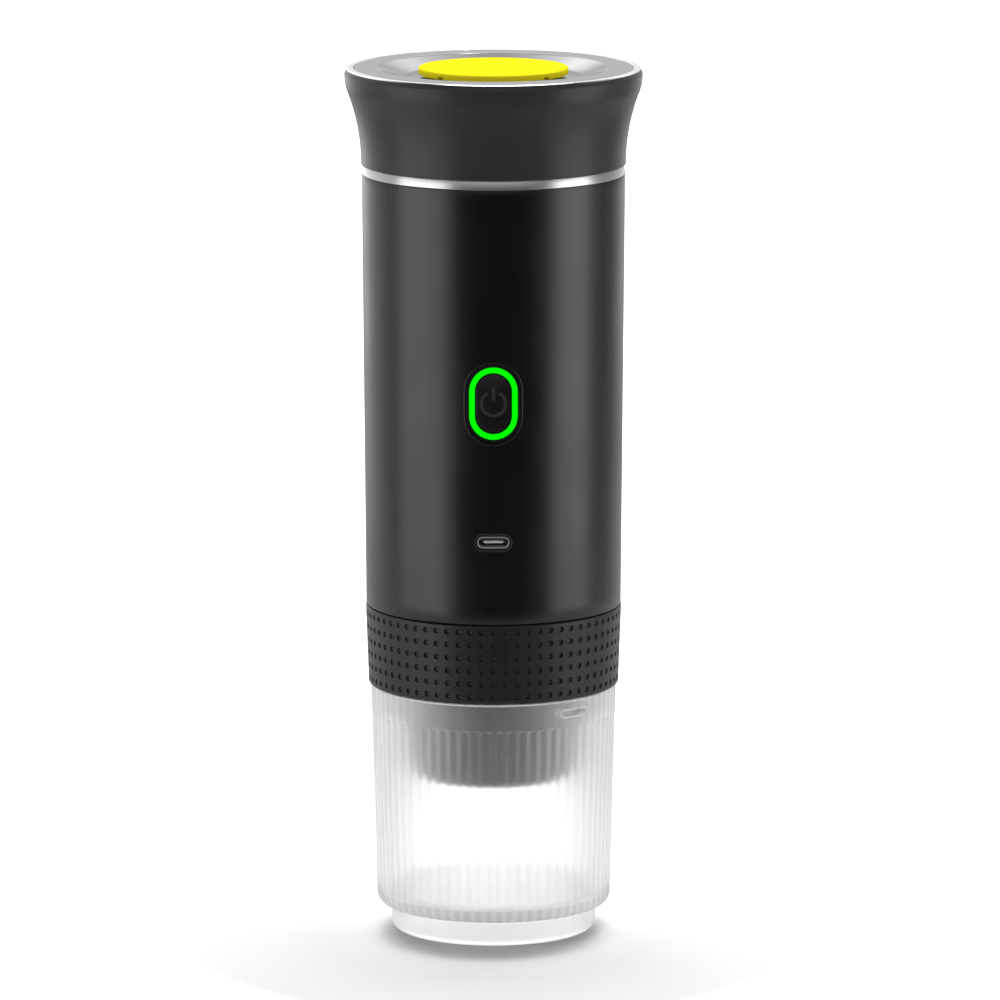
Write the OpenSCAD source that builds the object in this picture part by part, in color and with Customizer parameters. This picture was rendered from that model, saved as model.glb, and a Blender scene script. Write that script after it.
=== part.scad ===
// Portable capsule coffee maker: a clear cup, a brew chamber, a screw-on machine body and a screw lid.
// Millimetres, Z up, origin on the table under the middle of the cup, front toward -Y.

/* [Cup] */
// Height of the cup from the table to its rim
cup_h = 68.8; // [60:0.1:80]
// How far the rim stands in from the lower edge of the grip
cup_inset = 0.6; // [0.2:0.1:1]
// Loss of radius from the rim down to the foot
cup_taper = 1.7; // [0.6:0.1:3]
// Wall thickness behind the ribs
cup_wall = 2; // [1.8:0.1:2.6]
// Number of upright ribs
rib_count = 70; // [50:1:80]
// Depth of the grooves between the ribs
rib_depth = 0.35; // [0.2:0.05:0.6]
// Width of the grooves between the ribs
groove_w = 1.9; // [1:0.1:2.1]
// Height of the smooth band under the rim
band_h = 7.4; // [6.5:0.1:9]
// Rounding of the ribbed wall into the foot
rib_corner = 2.4; // [1.2:0.1:2.8]
// Height of the foot
foot_h = 7.1; // [6:0.1:9]
// How far the foot stands in from the ribbed wall
foot_inset = 4; // [3.2:0.1:6]
// Wall thickness of the foot
foot_wall = 2.2; // [1.6:0.1:3]
// Thickness of the cup floor
floor_t = 3.1; // [2:0.1:4]
// Width of the vent slot
slot_w = 9; // [6:0.1:12]
// Height of the vent slot
slot_h = 2.3; // [1.6:0.1:3]
// Middle of the vent slot below the rim
slot_drop = 4.1; // [3:0.1:4.5]
// Turn of the vent slot from the front, in degrees
slot_turn = 41; // [0:1:90]

/* [Brew chamber] */
// Height of the grip and its collar
grip_h = 22.4; // [21:0.1:26]
// How far the grip stands out from the sleeve above it
grip_proud = 0.15; // [0:0.05:0.5]
// Loss of radius from the top of the grip to its lower edge
grip_taper = 0.8; // [0.3:0.1:1.2]
// Thickness of the grip band at its lower edge
grip_t = 2; // [1.5:0.1:2.3]
// Width of a dimple
dimple_d = 1.6; // [1.2:0.1:2]
// Depth of a dimple
dimple_depth = 0.6; // [0.3:0.1:0.8]
// Rows of dimples
dimple_rows = 6; // [3:1:6]
// Columns of dimples
dimple_columns = 68; // [40:1:72]
// Spacing of the rows
dimple_pitch = 3.6; // [2.6:0.1:3.8]
// Wall between the collar and the screw socket
collar_wall = 2.5; // [1.8:0.1:3]
// Height of the ledge inside the collar above the cup rim
ledge_h = 5.6; // [4:0.1:6]
// Depth of the spigot that enters the cup
spigot_h = 7.2; // [6:0.1:10]
// Wall thickness of the spigot
spigot_t = 1.8; // [1.4:0.1:2.4]
// Radius of the basket where it leaves the collar
basket_r = 25.5; // [24:0.1:27]
// Loss of radius from the top of the basket to its tip
basket_taper = 1.85; // [1:0.05:3]
// Depth of the basket below the cup rim
basket_h = 25.2; // [24:0.1:30]
// Wall thickness of the basket
basket_wall = 1.8; // [1.4:0.1:2.2]
// Thickness of the basket floor
basket_floor = 2.4; // [1.8:0.1:3]
// Radius of the outlet hole
outlet_r = 4; // [3:0.1:5]
// Radius of the nozzle flange
nozzle_r = 6.5; // [6:0.1:8]
// Drop of the nozzle under the basket
nozzle_h = 3; // [2:0.1:4]
// Radius of the nozzle bore
nozzle_bore = 1.8; // [1.2:0.1:1.9]

/* [Capsule adapter] */
// Thickness of the flange on the ledge
adapter_flange = 3; // [2.4:0.1:4]
// Wall thickness of the adapter
adapter_wall = 1.6; // [1.2:0.1:2]
// Room between the adapter and the basket wall
adapter_room = 0.4; // [0.2:0.1:0.8]
// Radius of the seat for the capsule rim
seat_r = 18.9; // [18.5:0.1:19.1]
// Depth of the seat
seat_h = 1.2; // [0.8:0.1:1.6]
// Radius of the pocket at the seat
pocket_r = 15.4; // [15:0.1:16]
// Loss of radius down to the pocket floor
pocket_taper = 2.8; // [2:0.1:4]
// Thickness of the lower pierce plate
pierce_t = 0.8; // [0.5:0.1:1.2]
// Length of a lower spike
pierce_h = 3; // [2:0.1:4]

/* [Brew head] */
// Thickness of the soft ring between chamber and head
gasket_t = 3; // [2:0.1:4]
// Width of the soft ring
gasket_w = 8.6; // [6:0.1:8.8]
// Thickness of the head flange
head_flange = 3; // [2.4:0.1:4]
// Thickness of the roof under the flange
head_roof = 2; // [1.2:0.1:3]
// Wall thickness of the head spigot
head_wall = 3; // [2.4:0.1:4]
// Thickness of the needle plate
needle_t = 1; // [0.6:0.1:1.4]
// Length of a needle
needle_h = 4.8; // [3:0.1:6]
// Distance of the needles from the middle
needle_ring = 8; // [5:0.1:12]

/* [Machine body] */
// Radius of the sleeve at its top
body_r = 36; // [35.6:0.1:39]
// Loss of radius from the top of the sleeve to its lower edge
body_taper = 0.95; // [0.3:0.05:1.1]
// Height of the sleeve
body_h = 119.2; // [112:0.1:140]
// Wall thickness of the sleeve
sleeve_wall = 2; // [1.4:0.1:2.2]
// Height of the metal ring at the neck
ring_h = 2.55; // [1.6:0.05:4]

/* [Button] */
// Middle of the button above the lower edge of the sleeve
button_up = 61.25; // [50:0.05:64]
// Width of the opening in the sleeve
recess_w = 16; // [15.6:0.1:18]
// Height of the opening in the sleeve
recess_h = 22.9; // [22:0.1:26]
// Depth of the flat face below the sleeve
face_sink = 1; // [0.9:0.1:1.6]
// Width of the light ring
light_w = 13.2; // [12:0.1:13.6]
// Height of the light ring
light_h = 19.9; // [18:0.1:20.2]
// Breadth of the light ring's line
light_line = 1.6; // [1:0.1:2]
// Depth of the light ring
light_depth = 3.5; // [3:0.1:4]
// Travel of the button
button_travel = 0.8; // [0.4:0.1:1]
// Thickness of the housing behind the light ring
house_floor = 1.5; // [1.2:0.1:2]
// Height of the switch on the board
switch_h = 3.5; // [3:0.1:4.3]

/* [Charging port] */
// Middle of the port above the lower edge of the sleeve
port_up = 22.7; // [18:0.1:30]
// Width of the metal shell
port_w = 8.94; // [8.34:0.05:9.2]
// Height of the metal shell
port_h = 3.26; // [2.56:0.05:3.4]
// Wall thickness of the metal shell
port_wall = 0.3; // [0.2:0.05:0.4]
// Breadth of the soft ring round the shell
port_rim = 0.5; // [0.4:0.05:1]
// Depth of the port's mouth below the sleeve
port_sink = 0.5; // [0.3:0.05:0.8]

/* [Frame] */
// Thickness of the lower deck
deck_t = 2.5; // [2:0.1:3]
// Radius of a frame post
post_r = 3; // [2.6:0.1:3.4]
// Thickness of the upper deck
upper_t = 2.5; // [2:0.1:3]
// Radius of a screw head
screw_head_r = 2.4; // [2:0.1:2.6]
// Height of a screw head
screw_head_h = 1.6; // [1.2:0.1:2]
// Radius of a screw shank
screw_r = 1.1; // [0.8:0.1:1.3]
// Length of a screw shank
screw_l = 4.6; // [3.5:0.1:4.7]

/* [Battery] */
// Room between a cell and the pump
cell_web = 3.8; // [3.4:0.1:5]
// Length of a cell
cell_h = 65.2; // [64:0.1:70.5]
// Room between a cell and the sleeve
cell_room = 1.45; // [1.2:0.05:1.8]
// Thickness of a holder plate
holder_t = 5; // [3:0.1:7]
// Thickness of the contact strip
strip_t = 0.3; // [0.2:0.05:0.5]

/* [Circuit board] */
// Thickness of the circuit board
board_t = 1.6; // [1:0.1:2]
// Side of the driver chip
chip_w = 8; // [6:0.1:10]
// Thickness of the driver chip
chip_t = 1.2; // [0.8:0.1:1.6]
// Radius of the coil
coil_r = 4; // [3:0.1:5]
// Thickness of the coil and the plug
coil_t = 2.6; // [2:0.1:3]
// Distance of the chip and the coil from the middle of the board
part_side = 9.5; // [8:0.1:12]
// Middle of the chip and the coil above the lower deck
part_up = 36; // [30:0.1:40]
// Width of the plug
plug_w = 10; // [8:0.1:12]
// Height of the plug
plug_h = 5; // [4:0.1:6]
// Lower edge of the plug above the lower deck
plug_up = 2; // [1:0.1:4]

/* [Pump] */
// Distance of the pump axis forward of the middle
pump_set = 7; // [6:0.1:7.6]
// Diameter of the pump head
pump_d = 26; // [22:0.1:26.4]
// Height of the pump head
pump_h = 24; // [22:0.1:26]
// Diameter of the motor
motor_d = 24.4; // [20:0.1:25]
// Room between the motor and the upper deck
motor_gap = 4.5; // [3.5:0.1:10]
// Height of the bell housing between motor and pump
bell_h = 6; // [5:0.1:7]
// Diameter of the motor shaft
shaft_d = 3; // [2:0.1:4]
// Outer diameter of the coupling
coupling_d = 9; // [7:0.1:12]
// Depth of the shaft in the motor and in the pump
shaft_in = 5; // [4:0.1:8]
// Outer radius of the hose
hose_r = 3.2; // [2.8:0.1:3.4]
// Radius of the barbs inside the hose
barb_r = 2; // [1.6:0.1:2.2]
// Bore of the barbs
barb_bore = 1.2; // [0.8:0.1:1.3]
// Room between the hose and the board, and between the hose and the pump
hose_room = 1.3; // [0.8:0.1:2]

/* [Water tank] */
// Room between the tank and the sleeve
tank_room = 1.2; // [0.8:0.1:2]
// Wall thickness of the tank
tank_wall = 1.4; // [1:0.1:2]
// Thickness of the tank floor
tank_floor = 1.6; // [1.2:0.1:2.4]
// How far the neck stands in from the top of the sleeve
neck_step = 6; // [5.6:0.1:8]
// Wall thickness of the neck
neck_wall = 2; // [1.6:0.1:2.6]
// Thickness of the shoulder under the neck ring
shoulder_t = 2; // [1.4:0.1:3]
// Thickness of the heater plate
heater_t = 3; // [2:0.1:4]
// How far the heater plate stands in from the top of the sleeve
heater_step = 8; // [6:0.1:10]
// How far the ring of the heating element stands in from the edge of the heater plate
element_step = 13; // [12:0.1:16]
// Radius of the heating element's tube
element_r = 2.5; // [2.2:0.1:3]

/* [Lid] */
// Height of the lid
lid_h = 26.5; // [24:0.1:32]
// How far the skirt stands out from the neck ring
lid_proud = 0.18; // [0:0.02:0.5]
// How far the lip stands out from the skirt
lid_flare = 4.54; // [3.4:0.02:6]
// Part of the flare that curves outward
flare_share = 0.8; // [0.6:0.05:0.9]
// Drop from the top to the widest point of the lip
lip_drop = 1.85; // [1.75:0.05:2.4]
// How far the bright ring stands in from the lip
rim_inset = 0.2; // [0.1:0.02:0.4]
// Breadth of the bright ring
rim_w = 2.28; // [1.8:0.02:2.8]
// Drop from the top to the lower edge of the bright ring
rim_drop = 1.35; // [1.3:0.05:1.5]
// Rounding of the bright ring's outer edge
rim_round = 1.25; // [0.8:0.05:1.25]
// Height of the bright ring
rim_h = 2.6; // [2.2:0.1:3]
// How far the plate lies below the top of the bright ring
plate_drop = 0.1; // [0:0.05:0.3]
// Thickness of the plate
plate_t = 1; // [0.8:0.05:1.2]
// Breadth of the flat land between the bright ring and the dish
plate_land = 6.64; // [5.2:0.02:8]
// Breadth of the sloping side of the dish
dish_slope = 7.6; // [6:0.1:9]
// Depth of the dish
dish_depth = 2.6; // [2.2:0.1:3]
// Thickness of the deck inside the lid
lid_deck = 2.5; // [1.6:0.1:3]
// Thickness of the liner under the deck
liner_t = 2.4; // [1.6:0.1:3]
// Wall thickness of the liner
liner_wall = 1.6; // [1.2:0.1:1.7]
// Thickness of the lid gasket
lid_gasket_t = 2; // [1.4:0.1:3]

/* [Vent] */
// How far the vent disc stands in from the edge of the dish floor
vent_inset = 3.55; // [2.5:0.05:5]
// Thickness of the vent disc
vent_t = 1.8; // [1.2:0.1:2]
// How far the boss stands in from the edge of the disc
boss_step = 3.45; // [3:0.05:8]
// How far the disc stands over the top of the lid
vent_over = 0.05; // [0:0.05:0.5]
// Rounding of the disc's upper edge
vent_round = 0.5; // [0.2:0.05:0.8]
// Radius of the stem
stem_r = 3.8; // [3:0.1:5]
// Travel of the vent
vent_travel = 4; // [2:0.1:5]

/* [Fits] */
// Clearance between fixed pieces
fit_gap = 0.1; // [0.05:0.01:0.15]
// Clearance between moving pieces
run_gap = 0.3; // [0.25:0.01:0.4]
// Clearance round the motor shaft
shaft_gap = 0.05; // [0.02:0.01:0.1]
// Radial room for a screw thread
thread_room = 1.4; // [1.2:0.05:1.5]

/* [Hidden] */
$fn = 96;

// Levels from the table up
z_rim = cup_h;
z_body = z_rim + grip_h;
z_neck = z_body + body_h;
z_lid = z_neck + ring_h;
z_top = z_lid + lid_h;
z_band = z_rim - band_h;
z_floor = foot_h + floor_t;
z_slot = z_rim - slot_drop;
z_spigot = z_rim - spigot_h;
z_tip = z_rim - basket_h;
z_basket = z_tip + basket_floor;
z_ledge = z_rim + ledge_h;
z_seat = z_ledge + adapter_flange;
z_head = z_seat + gasket_t;
z_roof = z_body - head_roof;
z_deck = z_body + head_flange;
z_cells = z_deck + deck_t;
z_upper = z_cells + cell_h + strip_t;
z_upper_top = z_upper + upper_t;
z_heater = z_upper_top + 2 * element_r;
z_tank = z_heater + heater_t;
z_water = z_tank + tank_floor;
z_plate = z_top - plate_drop;
z_dish = z_plate - dish_depth;
z_lid_deck = z_dish - plate_t;
z_liner = z_lid_deck - lid_deck;
z_liner_low = z_liner - liner_t;
z_mouth = z_liner_low - lid_gasket_t;
z_lip = z_top - lip_drop;
z_rim_seat = z_top - rim_h;
z_rim_low = z_top - rim_drop;
z_button = z_body + button_up;
z_port = z_body + port_up;

// Outer radii
function sleeve_r(z) = body_r - body_taper * (z_neck - z) / body_h;
function sleeve_in(z) = sleeve_r(z) - sleeve_wall;
grip_top_r = sleeve_r(z_body) + grip_proud;
grip_low_r = grip_top_r - grip_taper;
grip_in = grip_low_r - grip_t;
cup_r = grip_low_r - cup_inset;
function cup_out(z) = cup_r - cup_taper * (z_rim - z) / (z_rim - foot_h);
function cup_in(z) = cup_out(z) - rib_depth - cup_wall;
foot_r = cup_out(foot_h) - foot_inset;
skirt_r = body_r + lid_proud;
lip_r = skirt_r + lid_flare;
rim_out = lip_r - rim_inset;
rim_in = rim_out - rim_w;
rim_seat_r = rim_out - 1.2;
rim_bend = min(rim_round, rim_drop - 0.05);
rim_ledge_r = rim_in - 1.7;
dish_r = rim_in - plate_land;
dish_floor_r = dish_r - dish_slope;
vent_r = dish_floor_r - vent_inset;
vent_boss_r = vent_r - boss_step;
neck_r = body_r - neck_step;
heater_r = body_r - heater_step;
element_ring = heater_r - element_step;

// Brew chamber
collar_r = grip_in - fit_gap;
socket_r = collar_r - collar_wall;
head_r = socket_r - thread_room;
tip_r = basket_r - basket_taper;
basket_in = basket_r - basket_wall;
tip_in = tip_r - basket_wall;
z_adapter = z_basket + 0.7;
z_pocket = z_adapter + adapter_wall;
pocket_low = pocket_r - pocket_taper;
plate_r = head_r - head_wall;
gasket_r = head_r - 0.5;

// Front stack from the button's face back to the board
y_face = face_sink - sleeve_r(z_button);
y_pocket = y_face + light_depth;
y_back = y_pocket + house_floor;
y_switch = y_back + 0.5;
y_plunger = y_switch - button_travel - run_gap;
y_board = y_switch + switch_h;
y_port = port_sink - sleeve_r(z_port);
button_w = light_w - 2 * light_line - 2 * run_gap;
button_h = light_h - 2 * light_line - 2 * run_gap;
button_stem = 2.5;
plunger_r = 1.7;

// Frame, battery and pump
low_in = sleeve_in(z_body);
post_ring = low_in - post_r - 1.5;
post_turns = [55, 125, 210, 330];
cell_turns = [23.7, 90, 156.3];
z_motor = z_cells + pump_h + bell_h;
motor_h = z_upper - motor_gap - z_motor;

// Cells as large as fit between the sleeve and the pump
cell_reach = low_in - cell_room;
cell_rise = pump_set * sin(cell_turns[0]);
cell_clear = max(pump_d, motor_d) / 2 + cell_web;
cell_r = (cell_reach * cell_reach + pump_set * pump_set + 2 * cell_reach * cell_rise
    - cell_clear * cell_clear) / (2 * (cell_reach + cell_clear + cell_rise));
cell_ring = cell_reach - cell_r;

// Hose beside the pump and behind the board
shaft_r = shaft_d / 2;
hose_reach = max(pump_d, motor_d) / 2 + hose_r + hose_room;
hose_y = y_board + board_t + hose_r + hose_room;
hose_x = -sqrt(hose_reach * hose_reach - pow(hose_y + pump_set, 2));
z_lug = z_cells + 14;
deck_screws = [[0, 9.3], [low_in - 5.5, -7], [5.5 - low_in, -7]];
board_half = sqrt(pow(low_in - 0.5, 2) - y_board * y_board);

// Tank and lid
tank_r = sleeve_in(z_tank) - tank_room;
tank_in = tank_r - tank_wall;
mouth_r = neck_r - neck_wall;
shoulder_r = sleeve_in(z_neck - shoulder_t) - fit_gap;
liner_in = neck_r + thread_room;
liner_r = liner_in + liner_wall;
stem_hole = stem_r + run_gap;
vent_low = z_top + vent_over - vent_t;

// Two arcs that meet smoothly between the skirt and the lip
flare_rise = z_lip - z_lid;
flare_sum = (lid_flare * lid_flare + flare_rise * flare_rise) / (2 * lid_flare);
flare_out = flare_sum * flare_share;
flare_in = flare_sum - flare_out;
flare_turn = asin(flare_rise / flare_sum);
flare_steps = 8;
bowl_steps = 10;

// Points of an arc about a centre
function arc(x, y, r, from, to, n) =
    [for (i = [0:n]) let (a = from + (to - from) * i / n) [x + r * cos(a), y + r * sin(a)]];

// Outline of a slot with round ends
function pill_points(w, h) = let (r = min(w, h) / 2, x = w / 2 - r, y = h / 2 - r)
    w > h
    ? concat(arc(x, 0, r, -90, 90, 14), arc(-x, 0, r, 90, 270, 14))
    : concat(arc(0, y, r, 0, 180, 14), arc(0, -y, r, 180, 360, 14));

// A slot-shaped block across the front, from y0 back to y1
module pill(w, h, y0, y1) {
    translate([0, y1, 0])
        rotate([90, 0, 0])
            linear_extrude(y1 - y0)
                polygon(pill_points(w, h));
}

// A turned solid from an outline of radius and height
module turned(points) {
    rotate_extrude()
        polygon(points);
}

// A round bar along Y
module bar_y(r, y0, y1) {
    translate([0, y1, 0])
        rotate([90, 0, 0])
            cylinder(r = r, h = y1 - y0);
}

// Sets pieces out on a circle
module around(r, turns) {
    for (a = turns)
        rotate([0, 0, a])
            translate([r, 0, 0])
                children();
}

// Upright grooves round the cup, from below its rounded corner up to the smooth band
module cup_grooves() {
    groove_round = (groove_w * groove_w / 4 + rib_depth * rib_depth) / (2 * rib_depth);
    lean = atan(cup_taper / (z_rim - foot_h));
    for (i = [0:rib_count - 1])
        rotate([0, 0, 360 * (i + 0.5) / rib_count - 90])
            translate([cup_out(foot_h) + groove_round - rib_depth, 0, foot_h])
                rotate([0, lean, 0])
                    translate([0, 0, -2])
                        cylinder(r = groove_round, h = (z_band - foot_h) / cos(lean) + 2, $fn = 40);
}

// Clear tumbler: turned outside, upright grooves, turned inside, hollow foot and vent slot
module cup() {
    color([0.9, 0.92, 0.93, 0.5])
        difference() {
            turned(concat([[0, 0]], arc(foot_r - 1.6, 1.6, 1.6, -90, 0, 4), [[foot_r, foot_h]],
                arc(cup_out(foot_h) - rib_corner, foot_h + rib_corner, rib_corner, -90, 0, 5),
                [[cup_out(z_rim - 0.6), z_rim - 0.6], [cup_r - 0.4, z_rim], [0, z_rim]]));
            turned(concat([[0, z_floor]], arc(cup_in(z_floor) - 3, z_floor + 3, 3, -90, 0, 4),
                [[cup_in(z_rim), z_rim], [cup_in(z_rim), z_rim + 1], [0, z_rim + 1]]));
            turned([[0, -1], [foot_r - foot_wall, -1], [foot_r - foot_wall, foot_h - 1.2],
                [foot_r - foot_wall - 1, foot_h - 0.2], [0, foot_h - 0.2]]);
            rotate([0, 0, slot_turn])
                translate([0, 0, z_slot])
                    pill(slot_w, slot_h, -cup_r - 2, 6 - cup_r);
            cup_grooves();
        }
}

// Collar with the screw socket, spigot for the cup and tapered basket
module chamber_body() {
    spigot_top = cup_in(z_rim) - run_gap;
    spigot_low = cup_in(z_spigot) - run_gap;
    color([0.1, 0.1, 0.1])
        difference() {
            turned([[outlet_r, z_tip], [tip_r - 0.8, z_tip], [tip_r, z_tip + 0.8], [basket_r, z_rim],
                [spigot_top - spigot_t, z_rim], [spigot_low - spigot_t, z_spigot],
                [spigot_low - 0.4, z_spigot], [spigot_low, z_spigot + 0.4], [spigot_top, z_rim],
                [collar_r, z_rim], [collar_r, z_body], [socket_r + 0.6, z_body], [socket_r, z_body - 0.6],
                [socket_r, z_ledge], [basket_in, z_ledge], [basket_in, z_rim], [tip_in, z_basket],
                [outlet_r, z_basket]]);
            rotate([0, 0, slot_turn])
                translate([-slot_w / 2 - 1, -spigot_top - 1, z_spigot - 1])
                    cube([slot_w + 2, 2.2, z_slot + slot_h - z_spigot]);
        }
}

// Rubber band with rows of shallow round dimples
module grip_band() {
    low = z_rim + run_gap;
    high = z_body - run_gap;
    middle = (z_rim + z_body) / 2;
    color([0.2, 0.2, 0.2])
        difference() {
            turned([[grip_in, low], [grip_low_r - 0.4, low], [grip_low_r, low + 0.4],
                [grip_top_r, high - 0.4], [grip_top_r - 0.4, high], [grip_in, high]]);
            for (row = [0:dimple_rows - 1]) {
                z = middle + (row - (dimple_rows - 1) / 2) * dimple_pitch;
                r = grip_low_r + grip_taper * (z - z_rim) / grip_h;
                for (column = [0:dimple_columns - 1])
                    rotate([0, 0, 360 * column / dimple_columns - 90])
                        translate([r - dimple_depth, 0, z])
                            rotate([0, 90, 0])
                                cylinder(d = dimple_d, h = 2, $fn = 24);
            }
        }
}

// Lift-out holder for a capsule: tapered pocket hung from a flange
module capsule_adapter() {
    wall_top = basket_in - adapter_room;
    color([0.16, 0.16, 0.17])
        difference() {
            turned([[0, z_adapter], [pocket_low + adapter_wall, z_adapter],
                [pocket_r + adapter_wall, z_ledge - 1.5], [wall_top, z_ledge - 1.5], [wall_top, z_ledge],
                [head_r, z_ledge], [head_r, z_seat], [seat_r, z_seat], [seat_r, z_seat - seat_h],
                [pocket_r, z_seat - seat_h], [pocket_low, z_pocket], [0, z_pocket]]);
            around(6, [0:60:300])
                translate([0, 0, z_adapter - 1])
                    cylinder(r = 1.2, h = adapter_wall + 2, $fn = 24);
        }
}

// Steel plate with three lower spikes on the pocket floor
module pierce_plate() {
    color([0.75, 0.76, 0.78])
        difference() {
            union() {
                translate([0, 0, z_pocket])
                    cylinder(r = pocket_low - fit_gap, h = pierce_t);
                around(3, [30, 150, 270])
                    turned([[0, z_pocket + pierce_t / 2], [1, z_pocket + pierce_t / 2],
                        [1, z_pocket + pierce_t], [0.15, z_pocket + pierce_t + pierce_h],
                        [0, z_pocket + pierce_t + pierce_h]]);
            }
            around(6, [0:60:300])
                translate([0, 0, z_pocket - 1])
                    cylinder(r = 1, h = pierce_t + 2, $fn = 24);
        }
}

// Soft nozzle pushed up into the basket floor
module outlet_nozzle() {
    color([0.12, 0.12, 0.12])
        turned([[nozzle_bore, z_tip - nozzle_h], [nozzle_r - 1, z_tip - nozzle_h], [nozzle_r, z_tip - 1],
            [nozzle_r, z_tip], [outlet_r - fit_gap, z_tip], [outlet_r - fit_gap, z_basket],
            [nozzle_bore, z_basket]]);
}

// Soft ring between the adapter and the brew head
module brew_gasket() {
    color([0.7, 0.7, 0.68])
        turned([[gasket_r - gasket_w, z_seat], [gasket_r, z_seat], [gasket_r, z_head],
            [gasket_r - gasket_w, z_head]]);
}

// Closing flange of the machine with the screw spigot below it
module brew_head() {
    color([0.13, 0.13, 0.14])
        difference() {
            turned([[0, z_roof], [plate_r - 2, z_roof], [plate_r - 2, z_head + needle_t],
                [plate_r + fit_gap, z_head + needle_t], [plate_r + fit_gap, z_head], [head_r - 0.6, z_head],
                [head_r, z_head + 0.6], [head_r, z_body], [sleeve_in(z_body) - fit_gap, z_body],
                [sleeve_in(z_body) - fit_gap, z_deck], [0, z_deck]]);
            translate([0, -pump_set, z_roof - 1])
                cylinder(r = barb_r + 0.8, h = head_flange + head_roof + 2);
            translate([0, -pump_set, z_deck - 1.8])
                cylinder(r = barb_r + 2.6, h = 3);
            for (p = deck_screws)
                translate([p[0], p[1], z_cells - screw_l - 0.3])
                    cylinder(r = screw_r + fit_gap, h = screw_l, $fn = 24);
        }
}

// Steel plate with the water holes and three needles
module needle_plate() {
    color([0.78, 0.79, 0.8])
        difference() {
            union() {
                translate([0, 0, z_head])
                    cylinder(r = plate_r, h = needle_t);
                around(needle_ring, [90, 210, 330])
                    turned([[0, z_head - needle_h], [0.15, z_head - needle_h], [1.3, z_head],
                        [1.3, z_head + needle_t / 2], [0, z_head + needle_t / 2]]);
            }
            around(needle_ring + 5, [0:30:330])
                translate([0, 0, z_head - 1])
                    cylinder(r = 0.6, h = needle_t + 2, $fn = 16);
        }
}

// Tapered black sleeve with the openings for button and port
module outer_sleeve() {
    color([0.06, 0.06, 0.06])
        difference() {
            turned([[sleeve_in(z_body), z_body], [sleeve_r(z_body) - 0.3, z_body],
                [sleeve_r(z_body + 0.3), z_body + 0.3], [sleeve_r(z_neck - 0.2), z_neck - 0.2],
                [sleeve_r(z_neck) - 0.2, z_neck], [sleeve_in(z_neck), z_neck]]);
            translate([0, 0, z_button])
                pill(recess_w, recess_h, -body_r - 5, -body_r / 2);
            translate([0, 0, z_port])
                pill(port_w + 2 * port_rim + 2 * fit_gap, port_h + 2 * port_rim + 2 * fit_gap,
                    -body_r - 5, -body_r / 2);
        }
}

// Bright metal ring between the sleeve and the lid
module neck_ring() {
    color([0.78, 0.78, 0.78])
        turned([[neck_r + fit_gap, z_neck], [body_r - 0.2, z_neck], [body_r, z_neck + 0.2],
            [body_r, z_lid - 0.2], [body_r - 0.2, z_lid], [neck_r + fit_gap, z_lid]]);
}

// Tank with its shoulder, screw neck and outlet tube
module water_tank() {
    lean = tank_in - mouth_r;
    color([0.55, 0.56, 0.58])
        difference() {
            union() {
                turned([[0, z_tank], [tank_r - 1.5, z_tank], [tank_r, z_tank + 1.5],
                    [tank_r, z_neck - shoulder_t - 1.4], [shoulder_r, z_neck - shoulder_t],
                    [shoulder_r, z_neck], [neck_r, z_neck], [neck_r, z_mouth - 0.5],
                    [neck_r - 0.5, z_mouth], [mouth_r, z_mouth], [mouth_r, z_neck - 3],
                    [tank_in, z_neck - 3 - lean], [tank_in, z_water + 1.5], [tank_in - 1.5, z_water],
                    [0, z_water]]);
                translate([hose_x, hose_y, z_upper - 7])
                    cylinder(r = barb_r, h = z_tank - z_upper + 8, $fn = 32);
            }
            translate([hose_x, hose_y, z_upper - 8])
                cylinder(r = barb_bore, h = z_water - z_upper + 10, $fn = 32);
        }
}

// Fine strainer over the tank outlet
module inlet_filter() {
    color([0.7, 0.71, 0.72])
        translate([hose_x, hose_y, z_water])
            difference() {
                cylinder(r = 4, h = 1.2, $fn = 48);
                translate([0, 0, -1])
                    cylinder(r = 3, h = 1.6, $fn = 48);
            }
}

// Aluminium plate against the tank floor
module heater_plate() {
    color([0.8, 0.8, 0.8])
        difference() {
            translate([0, 0, z_heater])
                cylinder(r = heater_r, h = heater_t);
            translate([hose_x, hose_y, z_heater - 1])
                cylinder(r = barb_r + 0.4, h = heater_t + 2, $fn = 32);
        }
}

// Bent heating tube under the plate
module heater_element() {
    color([0.6, 0.55, 0.5])
        translate([0, 0, z_upper_top + element_r])
            rotate([0, 0, 120])
                rotate_extrude(angle = 300)
                    translate([element_ring, 0])
                        circle(r = element_r, $fn = 48);
}

// Sensor button between the upper deck and the plate
module thermistor() {
    color([0.85, 0.82, 0.7])
        translate([0, 0, z_upper_top])
            cylinder(r = 3, h = 2 * element_r, $fn = 48);
}

// Small safety fuse lying on the upper deck
module thermal_fuse() {
    color([0.9, 0.9, 0.85])
        translate([heater_r - 6, 5, z_upper_top + 1.8])
            bar_y(1.8, -5, 5);
}

// Deck that carries the heater and closes the frame
module upper_deck() {
    color([0.3, 0.3, 0.32])
        difference() {
            translate([0, 0, z_upper])
                cylinder(r = sleeve_in(z_upper) - fit_gap, h = upper_t);
            translate([hose_x, hose_y, z_upper - 1])
                cylinder(r = barb_r + 0.4, h = upper_t + 2, $fn = 32);
            around(post_ring, post_turns)
                translate([0, 0, z_upper - 1])
                    cylinder(r = screw_r + 0.3, h = upper_t + 2, $fn = 24);
            translate([-recess_w / 2 - 2.5, -body_r, z_upper - 1])
                cube([recess_w + 5, body_r + y_back + 0.5, upper_t + 2]);
        }
}

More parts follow.
